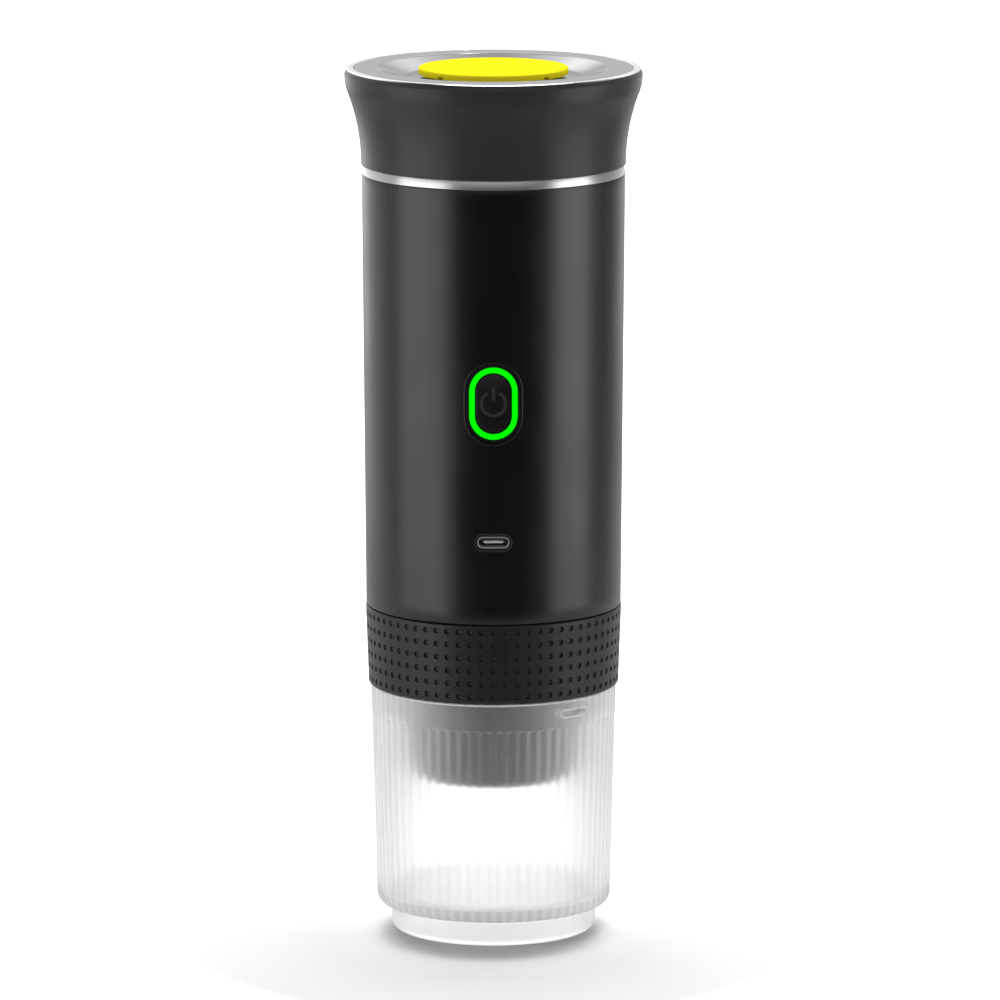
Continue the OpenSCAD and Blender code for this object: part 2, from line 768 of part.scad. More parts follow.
// Lower deck with four posts
module lower_frame() {
    color([0.3, 0.3, 0.32])
        difference() {
            union() {
                translate([0, 0, z_deck])
                    cylinder(r = sleeve_in(z_deck) - fit_gap, h = deck_t);
                around(post_ring, post_turns)
                    translate([0, 0, z_deck])
                        cylinder(r = post_r, h = z_upper - z_deck, $fn = 48);
            }
            translate([0, -pump_set, z_deck - 1])
                cylinder(r = barb_r + 0.8, h = deck_t + 2);
            for (p = deck_screws)
                translate([p[0], p[1], z_deck - 1])
                    cylinder(r = screw_r + fit_gap, h = deck_t + 2, $fn = 24);
            around(post_ring, post_turns)
                translate([0, 0, z_upper - screw_l])
                    cylinder(r = screw_r + fit_gap, h = screw_l + 1, $fn = 24);
        }
}

// One screw with its head on the level z
module screw(z) {
    translate([0, 0, z])
        cylinder(r = screw_head_r, h = screw_head_h, $fn = 32);
    translate([0, 0, z - screw_l])
        cylinder(r = screw_r, h = screw_l + 0.5, $fn = 24);
}

// Seven like screws: four in the posts and three in the lower deck
module frame_screws() {
    color([0.7, 0.7, 0.72]) {
        around(post_ring, post_turns)
            screw(z_upper_top);
        for (p = deck_screws)
            translate([p[0], p[1], 0])
                screw(z_cells);
    }
}

// Three cells standing on the lower deck
module battery_cells() {
    color([0.2, 0.45, 0.6])
        around(cell_ring, cell_turns)
            translate([0, 0, z_cells]) {
                cylinder(r = cell_r, h = cell_h - 1);
                cylinder(r = 3.2, h = cell_h, $fn = 48);
            }
}

// Outline of a holder plate
module holder_outline() {
    difference() {
        intersection() {
            circle(r = low_in - fit_gap);
            translate([-50, -3])
                square([100, 60]);
        }
        translate([0, -pump_set])
            circle(r = max(pump_d, motor_d) / 2 + 0.7);
        translate(deck_screws[0])
            circle(r = screw_head_r + 0.5, $fn = 32);
        around(cell_ring, cell_turns)
            circle(r = cell_r + fit_gap);
        around(post_ring, [55, 125])
            circle(r = post_r + fit_gap, $fn = 48);
    }
}

// Two plates that keep the cells apart
module cell_holders() {
    color([0.85, 0.85, 0.82])
        for (z = [z_cells, z_cells + cell_h - 1 - holder_t])
            translate([0, 0, z])
                linear_extrude(holder_t)
                    holder_outline();
}

// Contact strip across the tops of the cells
module cell_strip() {
    ends = [for (a = cell_turns) [cell_ring * cos(a), cell_ring * sin(a)]];
    color([0.8, 0.8, 0.78])
        translate([0, 0, z_cells + cell_h])
            linear_extrude(strip_t)
                for (i = [0, 1]) {
                    span = ends[i + 1] - ends[i];
                    translate(ends[i])
                        rotate([0, 0, atan2(span[1], span[0])])
                            translate([-3, -3])
                                square([norm(span) + 6, 6]);
                }
}

// Sealed pump head with its inlet lug and the outlet below
module pump_head() {
    reach = norm([hose_x, hose_y + pump_set]);
    color([0.85, 0.85, 0.85])
        translate([0, -pump_set, 0])
            difference() {
                union() {
                    translate([0, 0, z_cells])
                        cylinder(r = pump_d / 2, h = pump_h);
                    translate([0, 0, z_roof + 1])
                        cylinder(r = barb_r + 0.6, h = z_cells - z_roof, $fn = 48);
                    rotate([0, 0, atan2(hose_y + pump_set, hose_x)])
                        translate([0, -2.5, z_lug - 6])
                            cube([reach, 5, 6]);
                    translate([hose_x, hose_y + pump_set, z_lug - 6])
                        cylinder(r = hose_r, h = 6, $fn = 48);
                    translate([hose_x, hose_y + pump_set, z_lug - 1])
                        cylinder(r = barb_r, h = 7, $fn = 32);
                }
                translate([0, 0, z_cells + pump_h - shaft_in])
                    cylinder(r = shaft_r + shaft_gap, h = shaft_in + 1);
                translate([0, 0, z_roof])
                    cylinder(r = barb_bore, h = z_cells + 4 - z_roof, $fn = 32);
                translate([hose_x, hose_y + pump_set, z_lug - 3])
                    cylinder(r = barb_bore, h = 12, $fn = 32);
            }
}

// Soft ring round the pump outlet
module pump_seal() {
    color([0.15, 0.15, 0.15])
        translate([0, -pump_set, z_deck - 0.9])
            rotate_extrude()
                translate([barb_r + 1.6, 0])
                    circle(r = 0.85, $fn = 32);
}

// Open bell between pump head and motor
module bell_housing() {
    color([0.5, 0.5, 0.52])
        translate([0, -pump_set, z_cells + pump_h])
            difference() {
                cylinder(r = motor_d / 2, h = bell_h);
                translate([0, 0, -1])
                    cylinder(r = motor_d / 2 - 2, h = bell_h + 2);
                for (a = [0, 90])
                    rotate([0, 0, a])
                        translate([-motor_d, -4, 1.2])
                            cube([2 * motor_d, 8, bell_h - 2.4]);
            }
}

// Motor can with the bore for its shaft
module pump_motor() {
    color([0.72, 0.72, 0.74])
        translate([0, -pump_set, z_motor])
            difference() {
                union() {
                    cylinder(r = motor_d / 2, h = motor_h - 2);
                    cylinder(r = motor_d / 4, h = motor_h);
                }
                translate([0, 0, -1])
                    cylinder(r = shaft_r + shaft_gap, h = shaft_in + 1);
            }
}

// Turning shaft from the motor down to the pump head
module motor_shaft() {
    color([0.82, 0.82, 0.84])
        translate([0, -pump_set, z_cells + pump_h - shaft_in + run_gap])
            cylinder(r = shaft_r, h = bell_h + 2 * shaft_in - 2 * run_gap);
}

// Coupling fixed on the shaft
module shaft_coupling() {
    color([0.75, 0.6, 0.3])
        translate([0, -pump_set, z_cells + pump_h + 0.7])
            difference() {
                cylinder(r = coupling_d / 2, h = bell_h - 1.4);
                translate([0, 0, -1])
                    cylinder(r = shaft_r, h = bell_h + 1);
            }
}

// Straight hose from the tank outlet to the pump inlet
module inlet_hose() {
    color([0.85, 0.85, 0.82])
        translate([hose_x, hose_y, z_lug])
            difference() {
                cylinder(r = hose_r, h = z_upper - z_lug - 0.5);
                translate([0, 0, -1])
                    cylinder(r = barb_r + fit_gap, h = z_upper - z_lug + 2);
            }
}

// Circuit board standing between the two decks
module main_board() {
    color([0.1, 0.35, 0.2])
        translate([-board_half, y_board, z_cells])
            cube([2 * board_half, board_t, z_upper - z_cells]);
}

// Driver chip, coil and plug on the face of the board
module board_parts() {
    color([0.15, 0.15, 0.15]) {
        translate([-part_side - chip_w / 2, y_board - chip_t, z_cells + part_up - chip_w / 2])
            cube([chip_w, chip_t, chip_w]);
        translate([part_side, 0, z_cells + part_up])
            bar_y(coil_r, y_board - coil_t, y_board);
        translate([-plug_w / 2, y_board - coil_t, z_cells + plug_up])
            cube([plug_w, coil_t, plug_h]);
    }
}

// Flat face behind the opening, with a flange inside the sleeve
module button_housing() {
    color([0.05, 0.05, 0.05])
        translate([0, 0, z_button])
            difference() {
                union() {
                    pill(recess_w - 2 * fit_gap, recess_h - 2 * fit_gap, y_face, y_back);
                    translate([-recess_w / 2 - 2, y_back - 1.2, -recess_h / 2 - 2])
                        cube([recess_w + 4, 1.2, recess_h + 4]);
                }
                pill(light_w + 2 * fit_gap, light_h + 2 * fit_gap, y_face - 1, y_pocket);
                bar_y(button_stem + run_gap, y_pocket - 1, y_back + 1);
            }
}

// Light guide round the button
module light_ring() {
    color([0, 1, 0])
        translate([0, 0, z_button])
            difference() {
                pill(light_w, light_h, y_face - 0.1, y_pocket);
                pill(light_w - 2 * light_line, light_h - 2 * light_line, y_face - 1, y_pocket + 1);
            }
}

// Pressed button with its stem
module button_cap() {
    color([0.07, 0.07, 0.07])
        translate([0, 0, z_button]) {
            pill(button_w, button_h, y_face - 0.1, y_pocket - button_travel - run_gap);
            bar_y(button_stem, y_face + 0.5, y_plunger);
        }
}

// Switch body on the board
module tact_switch() {
    color([0.3, 0.3, 0.3])
        translate([0, 0, z_button])
            difference() {
                translate([-3, y_switch, -3])
                    cube([6, switch_h, 6]);
                bar_y(plunger_r + run_gap, y_switch - 1, y_switch + 1.2 + button_travel);
            }
}

// Plunger of the switch, moved by the button
module switch_plunger() {
    color([0.8, 0.75, 0.6])
        translate([0, 0, z_button])
            bar_y(plunger_r, y_plunger, y_switch + 0.9);
}

// Metal shell of the charging port
module port_shell() {
    color([0.6, 0.6, 0.62])
        translate([0, 0, z_port])
            difference() {
                pill(port_w, port_h, y_port, y_board);
                pill(port_w - 2 * port_wall, port_h - 2 * port_wall, y_port - 1, y_board - 2.2);
            }
}

// Contact tongue in the port
module port_tongue() {
    color([0.2, 0.2, 0.2])
        translate([-3.34, y_port + 0.9, z_port - 0.35])
            cube([6.68, y_board - y_port - 3.1, 0.7]);
}

// Soft ring between the port shell and the sleeve
module port_gasket() {
    color([0.1, 0.1, 0.1])
        translate([0, 0, z_port])
            difference() {
                pill(port_w + 2 * port_rim, port_h + 2 * port_rim, y_port - 0.1, y_port + 4);
                pill(port_w + 2 * fit_gap, port_h + 2 * fit_gap, y_port - 1, y_port + 5);
            }
}

// Soft ring between the tank mouth and the liner
module lid_gasket() {
    color([0.7, 0.7, 0.68])
        turned([[mouth_r - 0.8, z_mouth], [liner_in - 0.5, z_mouth], [liner_in - 0.5, z_liner_low],
            [mouth_r - 0.8, z_liner_low]]);
}

// Flared black shell of the lid
module lid_shell() {
    lower = [for (i = [0:flare_steps]) let (a = flare_turn * i / flare_steps)
        [skirt_r + flare_out * (1 - cos(a)), z_lid + flare_out * sin(a)]];
    upper = [for (i = [flare_steps - 1:-1:1]) let (a = flare_turn * i / flare_steps)
        [lip_r - flare_in * (1 - cos(a)), z_lip - flare_in * sin(a)]];
    lip = [[lip_r, z_lip], [lip_r, z_rim_low - 0.2], [lip_r - 0.2, z_rim_low]];
    color([0.1, 0.1, 0.1])
        turned(concat([[liner_r + fit_gap, z_lid], [skirt_r - 0.2, z_lid], [skirt_r, z_lid + 0.2]],
            [for (i = [1:flare_steps]) lower[i]], upper, lip,
            [[rim_seat_r + fit_gap, z_rim_low], [rim_seat_r + fit_gap, z_rim_seat],
            [rim_ledge_r - fit_gap, z_rim_seat],
            [rim_ledge_r - fit_gap, z_lid_deck], [stem_hole + 0.4, z_lid_deck], [stem_hole + 0.4, z_liner],
            [liner_r + fit_gap, z_liner]]));
}

// Liner that screws onto the tank neck
module lid_liner() {
    color([0.2, 0.2, 0.2])
        turned([[stem_hole, z_liner_low], [liner_in, z_liner_low], [liner_in, z_lid + 0.6],
            [liner_r, z_lid + 0.6], [liner_r, z_liner], [stem_hole, z_liner]]);
}

// Satin plate with the dish round the vent
module lid_plate() {
    bowl = [for (i = [0:bowl_steps]) let (s = i / bowl_steps)
        [dish_r - dish_slope * s, z_plate - dish_depth * s * (2 - s)]];
    color([0.72, 0.72, 0.72])
        turned(concat([[stem_hole + 0.4, z_lid_deck]],
            [for (i = [bowl_steps:-1:0]) bowl[i] + [0.4, -plate_t]],
            [[rim_in - fit_gap, z_plate - plate_t], [rim_in - fit_gap, z_plate]], bowl,
            [[stem_hole + 0.4, z_dish]]));
}

// Bright rounded ring round the plate, over the lip
module rim_ring() {
    color([0.9, 0.9, 0.9])
        turned(concat([[rim_ledge_r, z_rim_seat], [rim_seat_r, z_rim_seat], [rim_seat_r, z_rim_low],
            [rim_out, z_rim_low]], arc(rim_out - rim_bend, z_top - rim_bend, rim_bend, 0, 90, 8),
            [[rim_in, z_top], [rim_in, z_plate - plate_t], [rim_ledge_r, z_plate - plate_t]]));
}

// Soft yellow vent: disc, boss with air notches, and stem with a stop
module vent_cap() {
    top = z_top + vent_over;
    stop = z_liner_low - vent_travel - 0.5;
    color([0.98, 0.95, 0.1])
        difference() {
            turned(concat([[0, stop - 2], [stem_r + 0.8, stop - 2], [stem_r + 1.6, stop - 1],
                [stem_r + 1.6, stop], [stem_r, stop], [stem_r, z_dish], [vent_boss_r, z_dish],
                [vent_boss_r, vent_low]],
                [[vent_r - 0.2, vent_low], [vent_r, vent_low + 0.2]],
                arc(vent_r - vent_round, top - vent_round, vent_round, 0, 90, 4), [[0, top]]));
            for (a = [45, 135])
                rotate([0, 0, a])
                    translate([-vent_r - 1, -2, z_dish - 1])
                        cube([2 * vent_r + 2, 4, vent_low - z_dish + 0.6]);
        }
}

cup();
chamber_body();
grip_band();
capsule_adapter();
pierce_plate();
outlet_nozzle();
brew_gasket();
brew_head();
needle_plate();
outer_sleeve();
neck_ring();
water_tank();
inlet_filter();
heater_plate();
heater_element();
thermistor();
thermal_fuse();
upper_deck();
lower_frame();
frame_screws();
battery_cells();
cell_holders();
cell_strip();
pump_head();
pump_seal();
bell_housing();
pump_motor();
motor_shaft();
shaft_coupling();
inlet_hose();
main_board();
board_parts();
button_housing();
light_ring();
button_cap();
tact_switch();
switch_plunger();
port_shell();
port_tongue();
port_gasket();
lid_gasket();
lid_shell();
lid_liner();
lid_plate();
rim_ring();
vent_cap();
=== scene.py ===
import bmesh
import bpy
import numpy as np
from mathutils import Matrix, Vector


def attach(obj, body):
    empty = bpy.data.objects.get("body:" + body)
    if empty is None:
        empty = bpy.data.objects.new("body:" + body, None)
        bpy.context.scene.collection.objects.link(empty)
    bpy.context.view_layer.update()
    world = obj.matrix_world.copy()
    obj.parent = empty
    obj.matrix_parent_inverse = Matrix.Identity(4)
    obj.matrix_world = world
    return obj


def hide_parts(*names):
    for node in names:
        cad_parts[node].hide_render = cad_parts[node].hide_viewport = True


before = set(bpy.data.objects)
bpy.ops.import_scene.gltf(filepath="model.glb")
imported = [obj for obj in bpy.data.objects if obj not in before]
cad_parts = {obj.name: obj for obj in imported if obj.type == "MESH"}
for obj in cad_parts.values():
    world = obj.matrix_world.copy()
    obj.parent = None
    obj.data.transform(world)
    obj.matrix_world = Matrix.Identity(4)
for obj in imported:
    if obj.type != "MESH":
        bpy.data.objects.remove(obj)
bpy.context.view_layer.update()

# --- Studio -------------------------------------------------------------------------------------
# A pale table top in white surroundings, lit by a soft box on each side and one above.
# The camera is far off with a long lens, and looks down by ten degrees.


def linear(code):
    """Turns an sRGB hex colour into linear red, green, blue and a full alpha."""
    s = np.array([int(code[i:i + 2], 16) for i in (1, 3, 5)]) / 255
    return (*np.where(s <= 0.04045, s / 12.92, ((s + 0.055) / 1.055) ** 2.4).tolist(), 1.0)


def add(tree, kind, inputs=None, **settings):
    """Adds a node: settings are its own choices, inputs its sockets, each a value or another node's output."""
    node = tree.nodes.new(kind)
    for key, value in settings.items():
        setattr(node, key, value)
    for key, value in (inputs or {}).items():
        if isinstance(value, bpy.types.NodeSocket):
            tree.links.new(value, node.inputs[key])
        else:
            node.inputs[key].default_value = value
    return node


def finish(name, base, sockets=None):
    """A new material with one Principled shader: its name, base colour in hex and other sockets."""
    made = bpy.data.materials.new(name)
    made.use_nodes = True
    shader = made.node_tree.nodes["Principled BSDF"]
    shader.inputs["Base Color"].default_value = linear(base)
    for key, value in (sockets or {}).items():
        shader.inputs[key].default_value = value
    return made, made.node_tree, shader


def soft_box(name, place, aim, width, height, glow):
    """A rectangular lamp that faces aim. Its power is its glow times pi times its area."""
    lamp = bpy.data.lights.new(name, "AREA")
    lamp.shape = "RECTANGLE"
    lamp.size, lamp.size_y = width, height
    lamp.energy = glow * np.pi * width * height
    box = bpy.data.objects.new(name, lamp)
    box.location = place
    box.rotation_euler = (Vector(aim) - Vector(place)).to_track_quat("-Z", "Y").to_euler()
    scene.collection.objects.link(box)


scene = bpy.context.scene
scene.view_settings.view_transform = "Standard"

LEFT_TURN, RIGHT_TURN, LAMP_LEVEL = np.radians(65), np.radians(73), 0.05
soft_box("left_soft_box", (-np.sin(LEFT_TURN), -np.cos(LEFT_TURN), LAMP_LEVEL), (0, 0, LAMP_LEVEL),
         width=0.9, height=1.0, glow=2.5)
soft_box("right_soft_box", (np.sin(RIGHT_TURN), -np.cos(RIGHT_TURN), LAMP_LEVEL), (0, 0, LAMP_LEVEL),
         width=0.68, height=1.0, glow=3.0)
soft_box("top_soft_box", (0.12, 0.6, 2.6), (0, 0, 0.1), width=1.5, height=1.5, glow=7.8)

# White to the eye and behind the object, dark on the camera's side, as in a tent with an open front.
world = bpy.data.worlds.new("white_tent")
world.use_nodes = True
scene.world = world
tree = world.node_tree
tree.nodes.clear()
toward = add(tree, "ShaderNodeSeparateXYZ", {0: add(tree, "ShaderNodeTexCoord").outputs["Generated"]})
side = add(tree, "ShaderNodeMapRange", {"Value": toward.outputs["Y"], "From Min": -0.3, "From Max": 0.3,
                                        "To Min": 0.03, "To Max": 0.49}, interpolation_type="SMOOTHSTEP")
askew = add(tree, "ShaderNodeMath", {0: toward.outputs["X"], 1: -0.28, 2: toward.outputs["Y"]},
            operation="MULTIPLY_ADD")
behind = add(tree, "ShaderNodeMapRange", {"Value": askew.outputs[0], "From Min": 0.15, "From Max": 1.0,
                                          "To Min": 0.0, "To Max": 1.33}, interpolation_type="SMOOTHERSTEP")
around = add(tree, "ShaderNodeMath", {0: side.outputs["Result"], 1: behind.outputs["Result"]}, operation="ADD")
# The tent's seam at the left, behind the object, is the brightest part.
deep = add(tree, "ShaderNodeMapRange", {"Value": toward.outputs["Y"], "From Min": 0.7, "From Max": 0.95,
                                        "To Min": 0.0, "To Max": 1.5})
left = add(tree, "ShaderNodeMapRange", {"Value": toward.outputs["X"], "From Min": -0.1, "From Max": -0.25,
                                        "To Min": 0.0, "To Max": 1.0})
around = add(tree, "ShaderNodeMath", {0: deep.outputs["Result"], 1: left.outputs["Result"], 2: around.outputs[0]},
             operation="MULTIPLY_ADD")
# A pale board hangs over the camera, and only what leans back mirrors it.
over = add(tree, "ShaderNodeMapRange", {"Value": toward.outputs["Z"], "From Min": 0.12, "From Max": 0.25})
ahead = add(tree, "ShaderNodeMapRange", {"Value": toward.outputs["Y"], "From Min": -0.6, "From Max": -0.85,
                                         "To Min": 0.0, "To Max": 0.85})
around = add(tree, "ShaderNodeMath", {0: over.outputs["Result"], 1: ahead.outputs["Result"], 2: around.outputs[0]},
             operation="MULTIPLY_ADD")
# Up the wall: dim at the floor, full to the horizon, a grey strip above it, then bright cloth and the dark top.
rise = add(tree, "ShaderNodeMapRange", {"Value": toward.outputs["Z"], "From Min": -1.0, "From Max": 1.0})
tent = add(tree, "ShaderNodeValToRGB", {"Fac": rise.outputs["Result"]})
tent.color_ramp.interpolation = "EASE"
TENT_FLOOR, TENT_WALL, TENT_TOP = 0.107, 0.714, 0.214
tent.color_ramp.elements[0].color = (TENT_FLOOR, TENT_FLOOR, TENT_FLOOR, 1)
tent.color_ramp.elements[1].color = (TENT_TOP, TENT_TOP, TENT_TOP, 1)
for z, tone in ((-0.4, TENT_FLOOR), (-0.15, TENT_WALL), (-0.11, TENT_WALL), (-0.04, 0.5), (0.2, 0.49), (0.5, 1.0),
                (0.62, 0.78), (0.8, TENT_TOP)):
    stop = tent.color_ramp.elements.new((z + 1) / 2)
    stop.color = (tone, tone, tone, 1)
depth = add(tree, "ShaderNodeMath", {0: around.outputs[0], 1: tent.outputs["Color"]}, operation="MULTIPLY")
ray = add(tree, "ShaderNodeLightPath")
direct = add(tree, "ShaderNodeMath", {0: ray.outputs["Is Camera Ray"], 1: ray.outputs["Is Transmission Ray"]},
             operation="MAXIMUM")
shade = add(tree, "ShaderNodeMath", {0: depth.outputs[0], 1: direct.outputs[0]}, operation="MAXIMUM")
sky = add(tree, "ShaderNodeBackground", {"Color": (1, 1, 1, 1), "Strength": shade.outputs[0]})
add(tree, "ShaderNodeOutputWorld", {"Surface": sky.outputs[0]})

# Table top: white laminate, matt. The eye sees it a little brighter away from the foot, so that only the shadow
# shows, and less so through the cup, where the flutes would be lost in plain white. That lift round the foot is
# painted light: its stops set how wide and how dark the shadow reads.
table_white, tree, shader = finish("white_laminate", "#d6d6d6", {"Roughness": 0.9, "Specular IOR Level": 0.1})
ray = add(tree, "ShaderNodeLightPath")
spread = add(tree, "ShaderNodeMapping", {"Vector": add(tree, "ShaderNodeTexCoord").outputs["Object"],
                                         "Location": (0.0015, 0.02, 0.0), "Scale": (2.15, 1.9, 1.0)})
far = add(tree, "ShaderNodeVectorMath", {0: spread.outputs[0]}, operation="LENGTH")
# Painted light on the table: none near the foot, rising with the distance from it.
painted_lift = add(tree, "ShaderNodeValToRGB", {"Fac": add(tree, "ShaderNodeMath", {0: far.outputs["Value"], 1: 4.0},
                                                   operation="MULTIPLY").outputs[0]})
for place, tone in ((0.216, 0.0), (0.24, 0.09), (0.268, 0.27), (0.3, 0.36), (0.4, 0.3), (0.72, 0.27), (1.0, 1.0)):
    stop = painted_lift.color_ramp.elements.new(place)
    stop.color = (tone, tone, tone, 1)
through = add(tree, "ShaderNodeMath", {0: ray.outputs["Is Transmission Ray"], 1: 0.78}, operation="MULTIPLY")
seen = add(tree, "ShaderNodeMath", {0: ray.outputs["Is Camera Ray"], 1: painted_lift.outputs["Color"],
                                    2: through.outputs[0]}, operation="MULTIPLY_ADD")
tree.links.new(seen.outputs[0], shader.inputs["Emission Strength"])
shader.inputs["Emission Color"].default_value = (1, 1, 1, 1)
TABLE_HALF, TABLE_FRONT, TABLE_BACK, TABLE_LEVEL = 0.45, -0.19, 6.0, -0.0001
mesh = bpy.data.meshes.new("table_top")
mesh.from_pydata([(-TABLE_HALF, TABLE_FRONT, TABLE_LEVEL), (TABLE_HALF, TABLE_FRONT, TABLE_LEVEL),
                  (TABLE_HALF, TABLE_BACK, TABLE_LEVEL), (-TABLE_HALF, TABLE_BACK, TABLE_LEVEL)], [], [(0, 1, 2, 3)])
mesh.materials.append(table_white)
table_top = bpy.data.objects.new("table_top", mesh)
scene.collection.objects.link(table_top)

CAMERA_PITCH = 10.13
camera = bpy.data.objects.new("camera", bpy.data.cameras.new("camera"))
camera.data.lens = 302.4
camera.data.sensor_width = 36
camera.data.clip_end = 50
camera.location = (0.00178, -2.2744, 0.52584)
camera.rotation_euler = (np.radians(90 - CAMERA_PITCH), 0, 0)
scene.collection.objects.link(camera)
scene.camera = camera

# --- Cup ----------------------------------------------------------------------------------------
# Clear copolyester tumbler, injection moulded in one shot: smooth band under the rim, seventy upright
# flutes, rounded lower corner, hollow foot. The chamber's spigot drops into it; a slot lets air out.


def arc(x, z, r, start, end, n=9):
    """Points of an arc: the centre plus r times cosine and sine, from start to end in degrees."""
    a = np.radians(np.linspace(start, end, n))
    return np.column_stack([x + r * np.cos(a), z + r * np.sin(a)])


def line(*ends, n=2):
    """Points along a broken line of radius and height, n to each stretch."""
    ends = np.array(ends, float)
    t = np.linspace(0, 1, n)[:, None]
    return np.concatenate([ends[i] + t * (ends[i + 1] - ends[i]) for i in range(len(ends) - 1)])


def outline(*runs):
    """Joins runs of points into one outline and drops points that repeat."""
    path = np.concatenate(runs)
    return path[np.r_[True, np.linalg.norm(np.diff(path, axis=0), axis=1) > 1e-4]]


def carried_round(path, turns):
    """Carries an outline about Z: radius r at turn a goes to (r sin a, -r cos a), so turn 0 is the front."""
    a = np.radians(turns)[None, :]
    r, z = path[:, :1], path[:, 1:]
    return np.stack([r * np.sin(a), -r * np.cos(a), z + 0 * a], -1)


def grid_faces(rows, cols, wrap_rows, wrap_cols):
    """Corner numbers of a grid's four-sided faces; a side that wraps joins its last line to its first."""
    i = np.arange(rows if wrap_rows else rows - 1)[:, None]
    j = np.arange(cols if wrap_cols else cols - 1)[None, :]
    k, m = (i + 1) % rows, (j + 1) % cols
    return np.stack([i * cols + j, i * cols + m, k * cols + m, k * cols + j], -1)


def piece(name, points, faces, body, slot, made, nodes=(), sharp=35):
    """Puts points in millimetres and faces into a mesh, closes its seams and poles, turns its faces
    outwards, shades it smooth up to the sharp angle, ties it to its body and hides the CAD nodes it replaces.
    The slot is not used."""
    mesh = bpy.data.meshes.new(name)
    mesh.from_pydata((points.reshape(-1, 3) / 1000).tolist(), [], faces.reshape(-1, faces.shape[-1]).tolist())
    shell = bmesh.new()
    shell.from_mesh(mesh)
    bmesh.ops.remove_doubles(shell, verts=shell.verts, dist=2e-7)
    bmesh.ops.recalc_face_normals(shell, faces=shell.faces)
    shell.to_mesh(mesh)
    shell.free()
    mesh.shade_smooth()
    mesh.set_sharp_from_angle(angle=np.radians(sharp))
    mesh.materials.append(made)
    obj = bpy.data.objects.new(name, mesh)
    scene.collection.objects.link(obj)
    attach(obj, body)
    if nodes:
        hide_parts(*nodes)


def bent_round(u, r, z, turn):
    """Bends flat points round Z: a point u across, at radius r, stands at the turn plus the arcsine of u over r."""
    a = np.arcsin(u / r) + np.radians(turn)
    return np.stack([r * np.sin(a), -r * np.cos(a), z], -1)


def level_pill(half, end, n):
    """A level pill, n points to each end: plus or minus half, and round that the end's radius times cosine and sine."""
    a = np.radians(np.linspace([-90, 90], [90, 270], n, axis=1)).reshape(1, -1)
    return np.repeat([1, -1], n) * half + end * np.cos(a), end * np.sin(a)


def pierced_round(path, turns, outer, inner, windows, points=None):
    """A closed wall turned about Z with pill-shaped windows straight through it. outer and inner number
    the outline's rows on the two faces of the wall, level for level. A cell whose middle lies in a pill is
    left out, the corners round the gap move onto the pill, and a strip joins the two faces there."""
    rows, cols = len(path), len(turns)
    points = carried_round(path, turns) if points is None else points
    faces = grid_faces(rows, cols, True, True)
    keep = np.ones((rows, cols), bool)
    strips = []
    for turn, level, w, h in windows:
        end = min(w, h) / 2
        swing = np.radians((turns - turn + 180) % 360 - 180)
        # What lies more than a radian away counts as far outside the pill.
        u = path[outer, 0][:, None] * np.where(np.abs(swing) < 1, np.sin(swing), 9)[None, :]
        v = (path[outer, 1] - level)[:, None] + 0 * u
        near_u, near_v = np.clip(u, end - w / 2, w / 2 - end), np.clip(v, end - h / 2, h / 2 - end)
        far = np.maximum(np.hypot(u - near_u, v - near_v), 1e-9)
        inside = far - end
        gone = (inside + np.roll(inside, -1, 1))[:-1] + (inside + np.roll(inside, -1, 1))[1:] < 0
        keep[outer[:-1]] &= ~gone
        keep[inner[1:]] &= ~gone
        padded = np.pad(gone, ((1, 1), (0, 0)))
        count = padded + np.roll(padded, 1, 1).astype(int)
        count = count[:-1] + count[1:]
        k, j = np.nonzero((count > 0) & (count < 4))
        su = near_u[k, j] + (u - near_u)[k, j] / far[k, j] * end
        sv = level + near_v[k, j] + (v - near_v)[k, j] / far[k, j] * end
        for face in (outer, inner):
            points[face[k], j] = bent_round(su, np.interp(sv, path[face, 1], path[face, 0]), sv, turn)
        k, j = np.nonzero(padded[1:] != padded[:-1])
        m = (j + 1) % cols
        strips.append(np.stack([outer[k] * cols + j, outer[k] * cols + m, inner[k] * cols + m,
                                inner[k] * cols + j], -1))
        k, j = np.nonzero(gone != np.roll(gone, 1, 1))
        strips.append(np.stack([outer[k] * cols + j, outer[k + 1] * cols + j, inner[k + 1] * cols + j,
                                inner[k] * cols + j], -1))
    return points, np.concatenate([faces[keep], *strips])


PATCH_SIZE, RUBBED = 25, 0.06


def grained(name, base, sockets, size, height, strength=0.4):
    """A finish with moulded grain: noise with spots of the given size in millimetres, as a bump of that height.
    Patches of some centimetres are a little duller or glossier, as where hands have rubbed them."""
    made, tree, shader = finish(name, base, sockets)
    where = add(tree, "ShaderNodeTexCoord").outputs["Object"]
    spots = add(tree, "ShaderNodeTexNoise", {"Vector": where, "Scale": 1000 / size, "Detail": 3.0, "Roughness": 0.6})
    bump = add(tree, "ShaderNodeBump", {"Height": spots.outputs["Fac"], "Strength": strength,
                                        "Distance": height / 1000})
    tree.links.new(bump.outputs["Normal"], shader.inputs["Normal"])
    patches = add(tree, "ShaderNodeTexNoise", {"Vector": where, "Scale": 1000 / PATCH_SIZE, "Detail": 2.0})
    dull = shader.inputs["Roughness"].default_value
    rubbed = add(tree, "ShaderNodeMapRange", {"Value": patches.outputs["Fac"], "To Min": dull - RUBBED,
                                              "To Max": dull + RUBBED})
    tree.links.new(rubbed.outputs["Result"], shader.inputs["Roughness"])
    return made


COLLAR_LOW, COLLAR_HIGH, COLLAR_TALL = 68.8, 91.2, 22.4
CUP_RIM, CUP_RIM_R, CUP_FALL, FOOT_HIGH = 68.78, 33.8, 1.7 / 61.7, 7.1
BAND_LOW, FLUTES, FLUTE_DEEP, FLUTE_COLUMNS, CUP_WALL = 61.4, 70, 0.28, 11, 2.35
FOOT_R, FOOT_IN, FLOOR_HIGH, CORNER = 28.1, 25.9, 10.2, 2.4
SLOT_TURN, SLOT_HIGH, SLOT_WIDE, SLOT_TALL = 41.0, 64.95, 9.0, 1.8


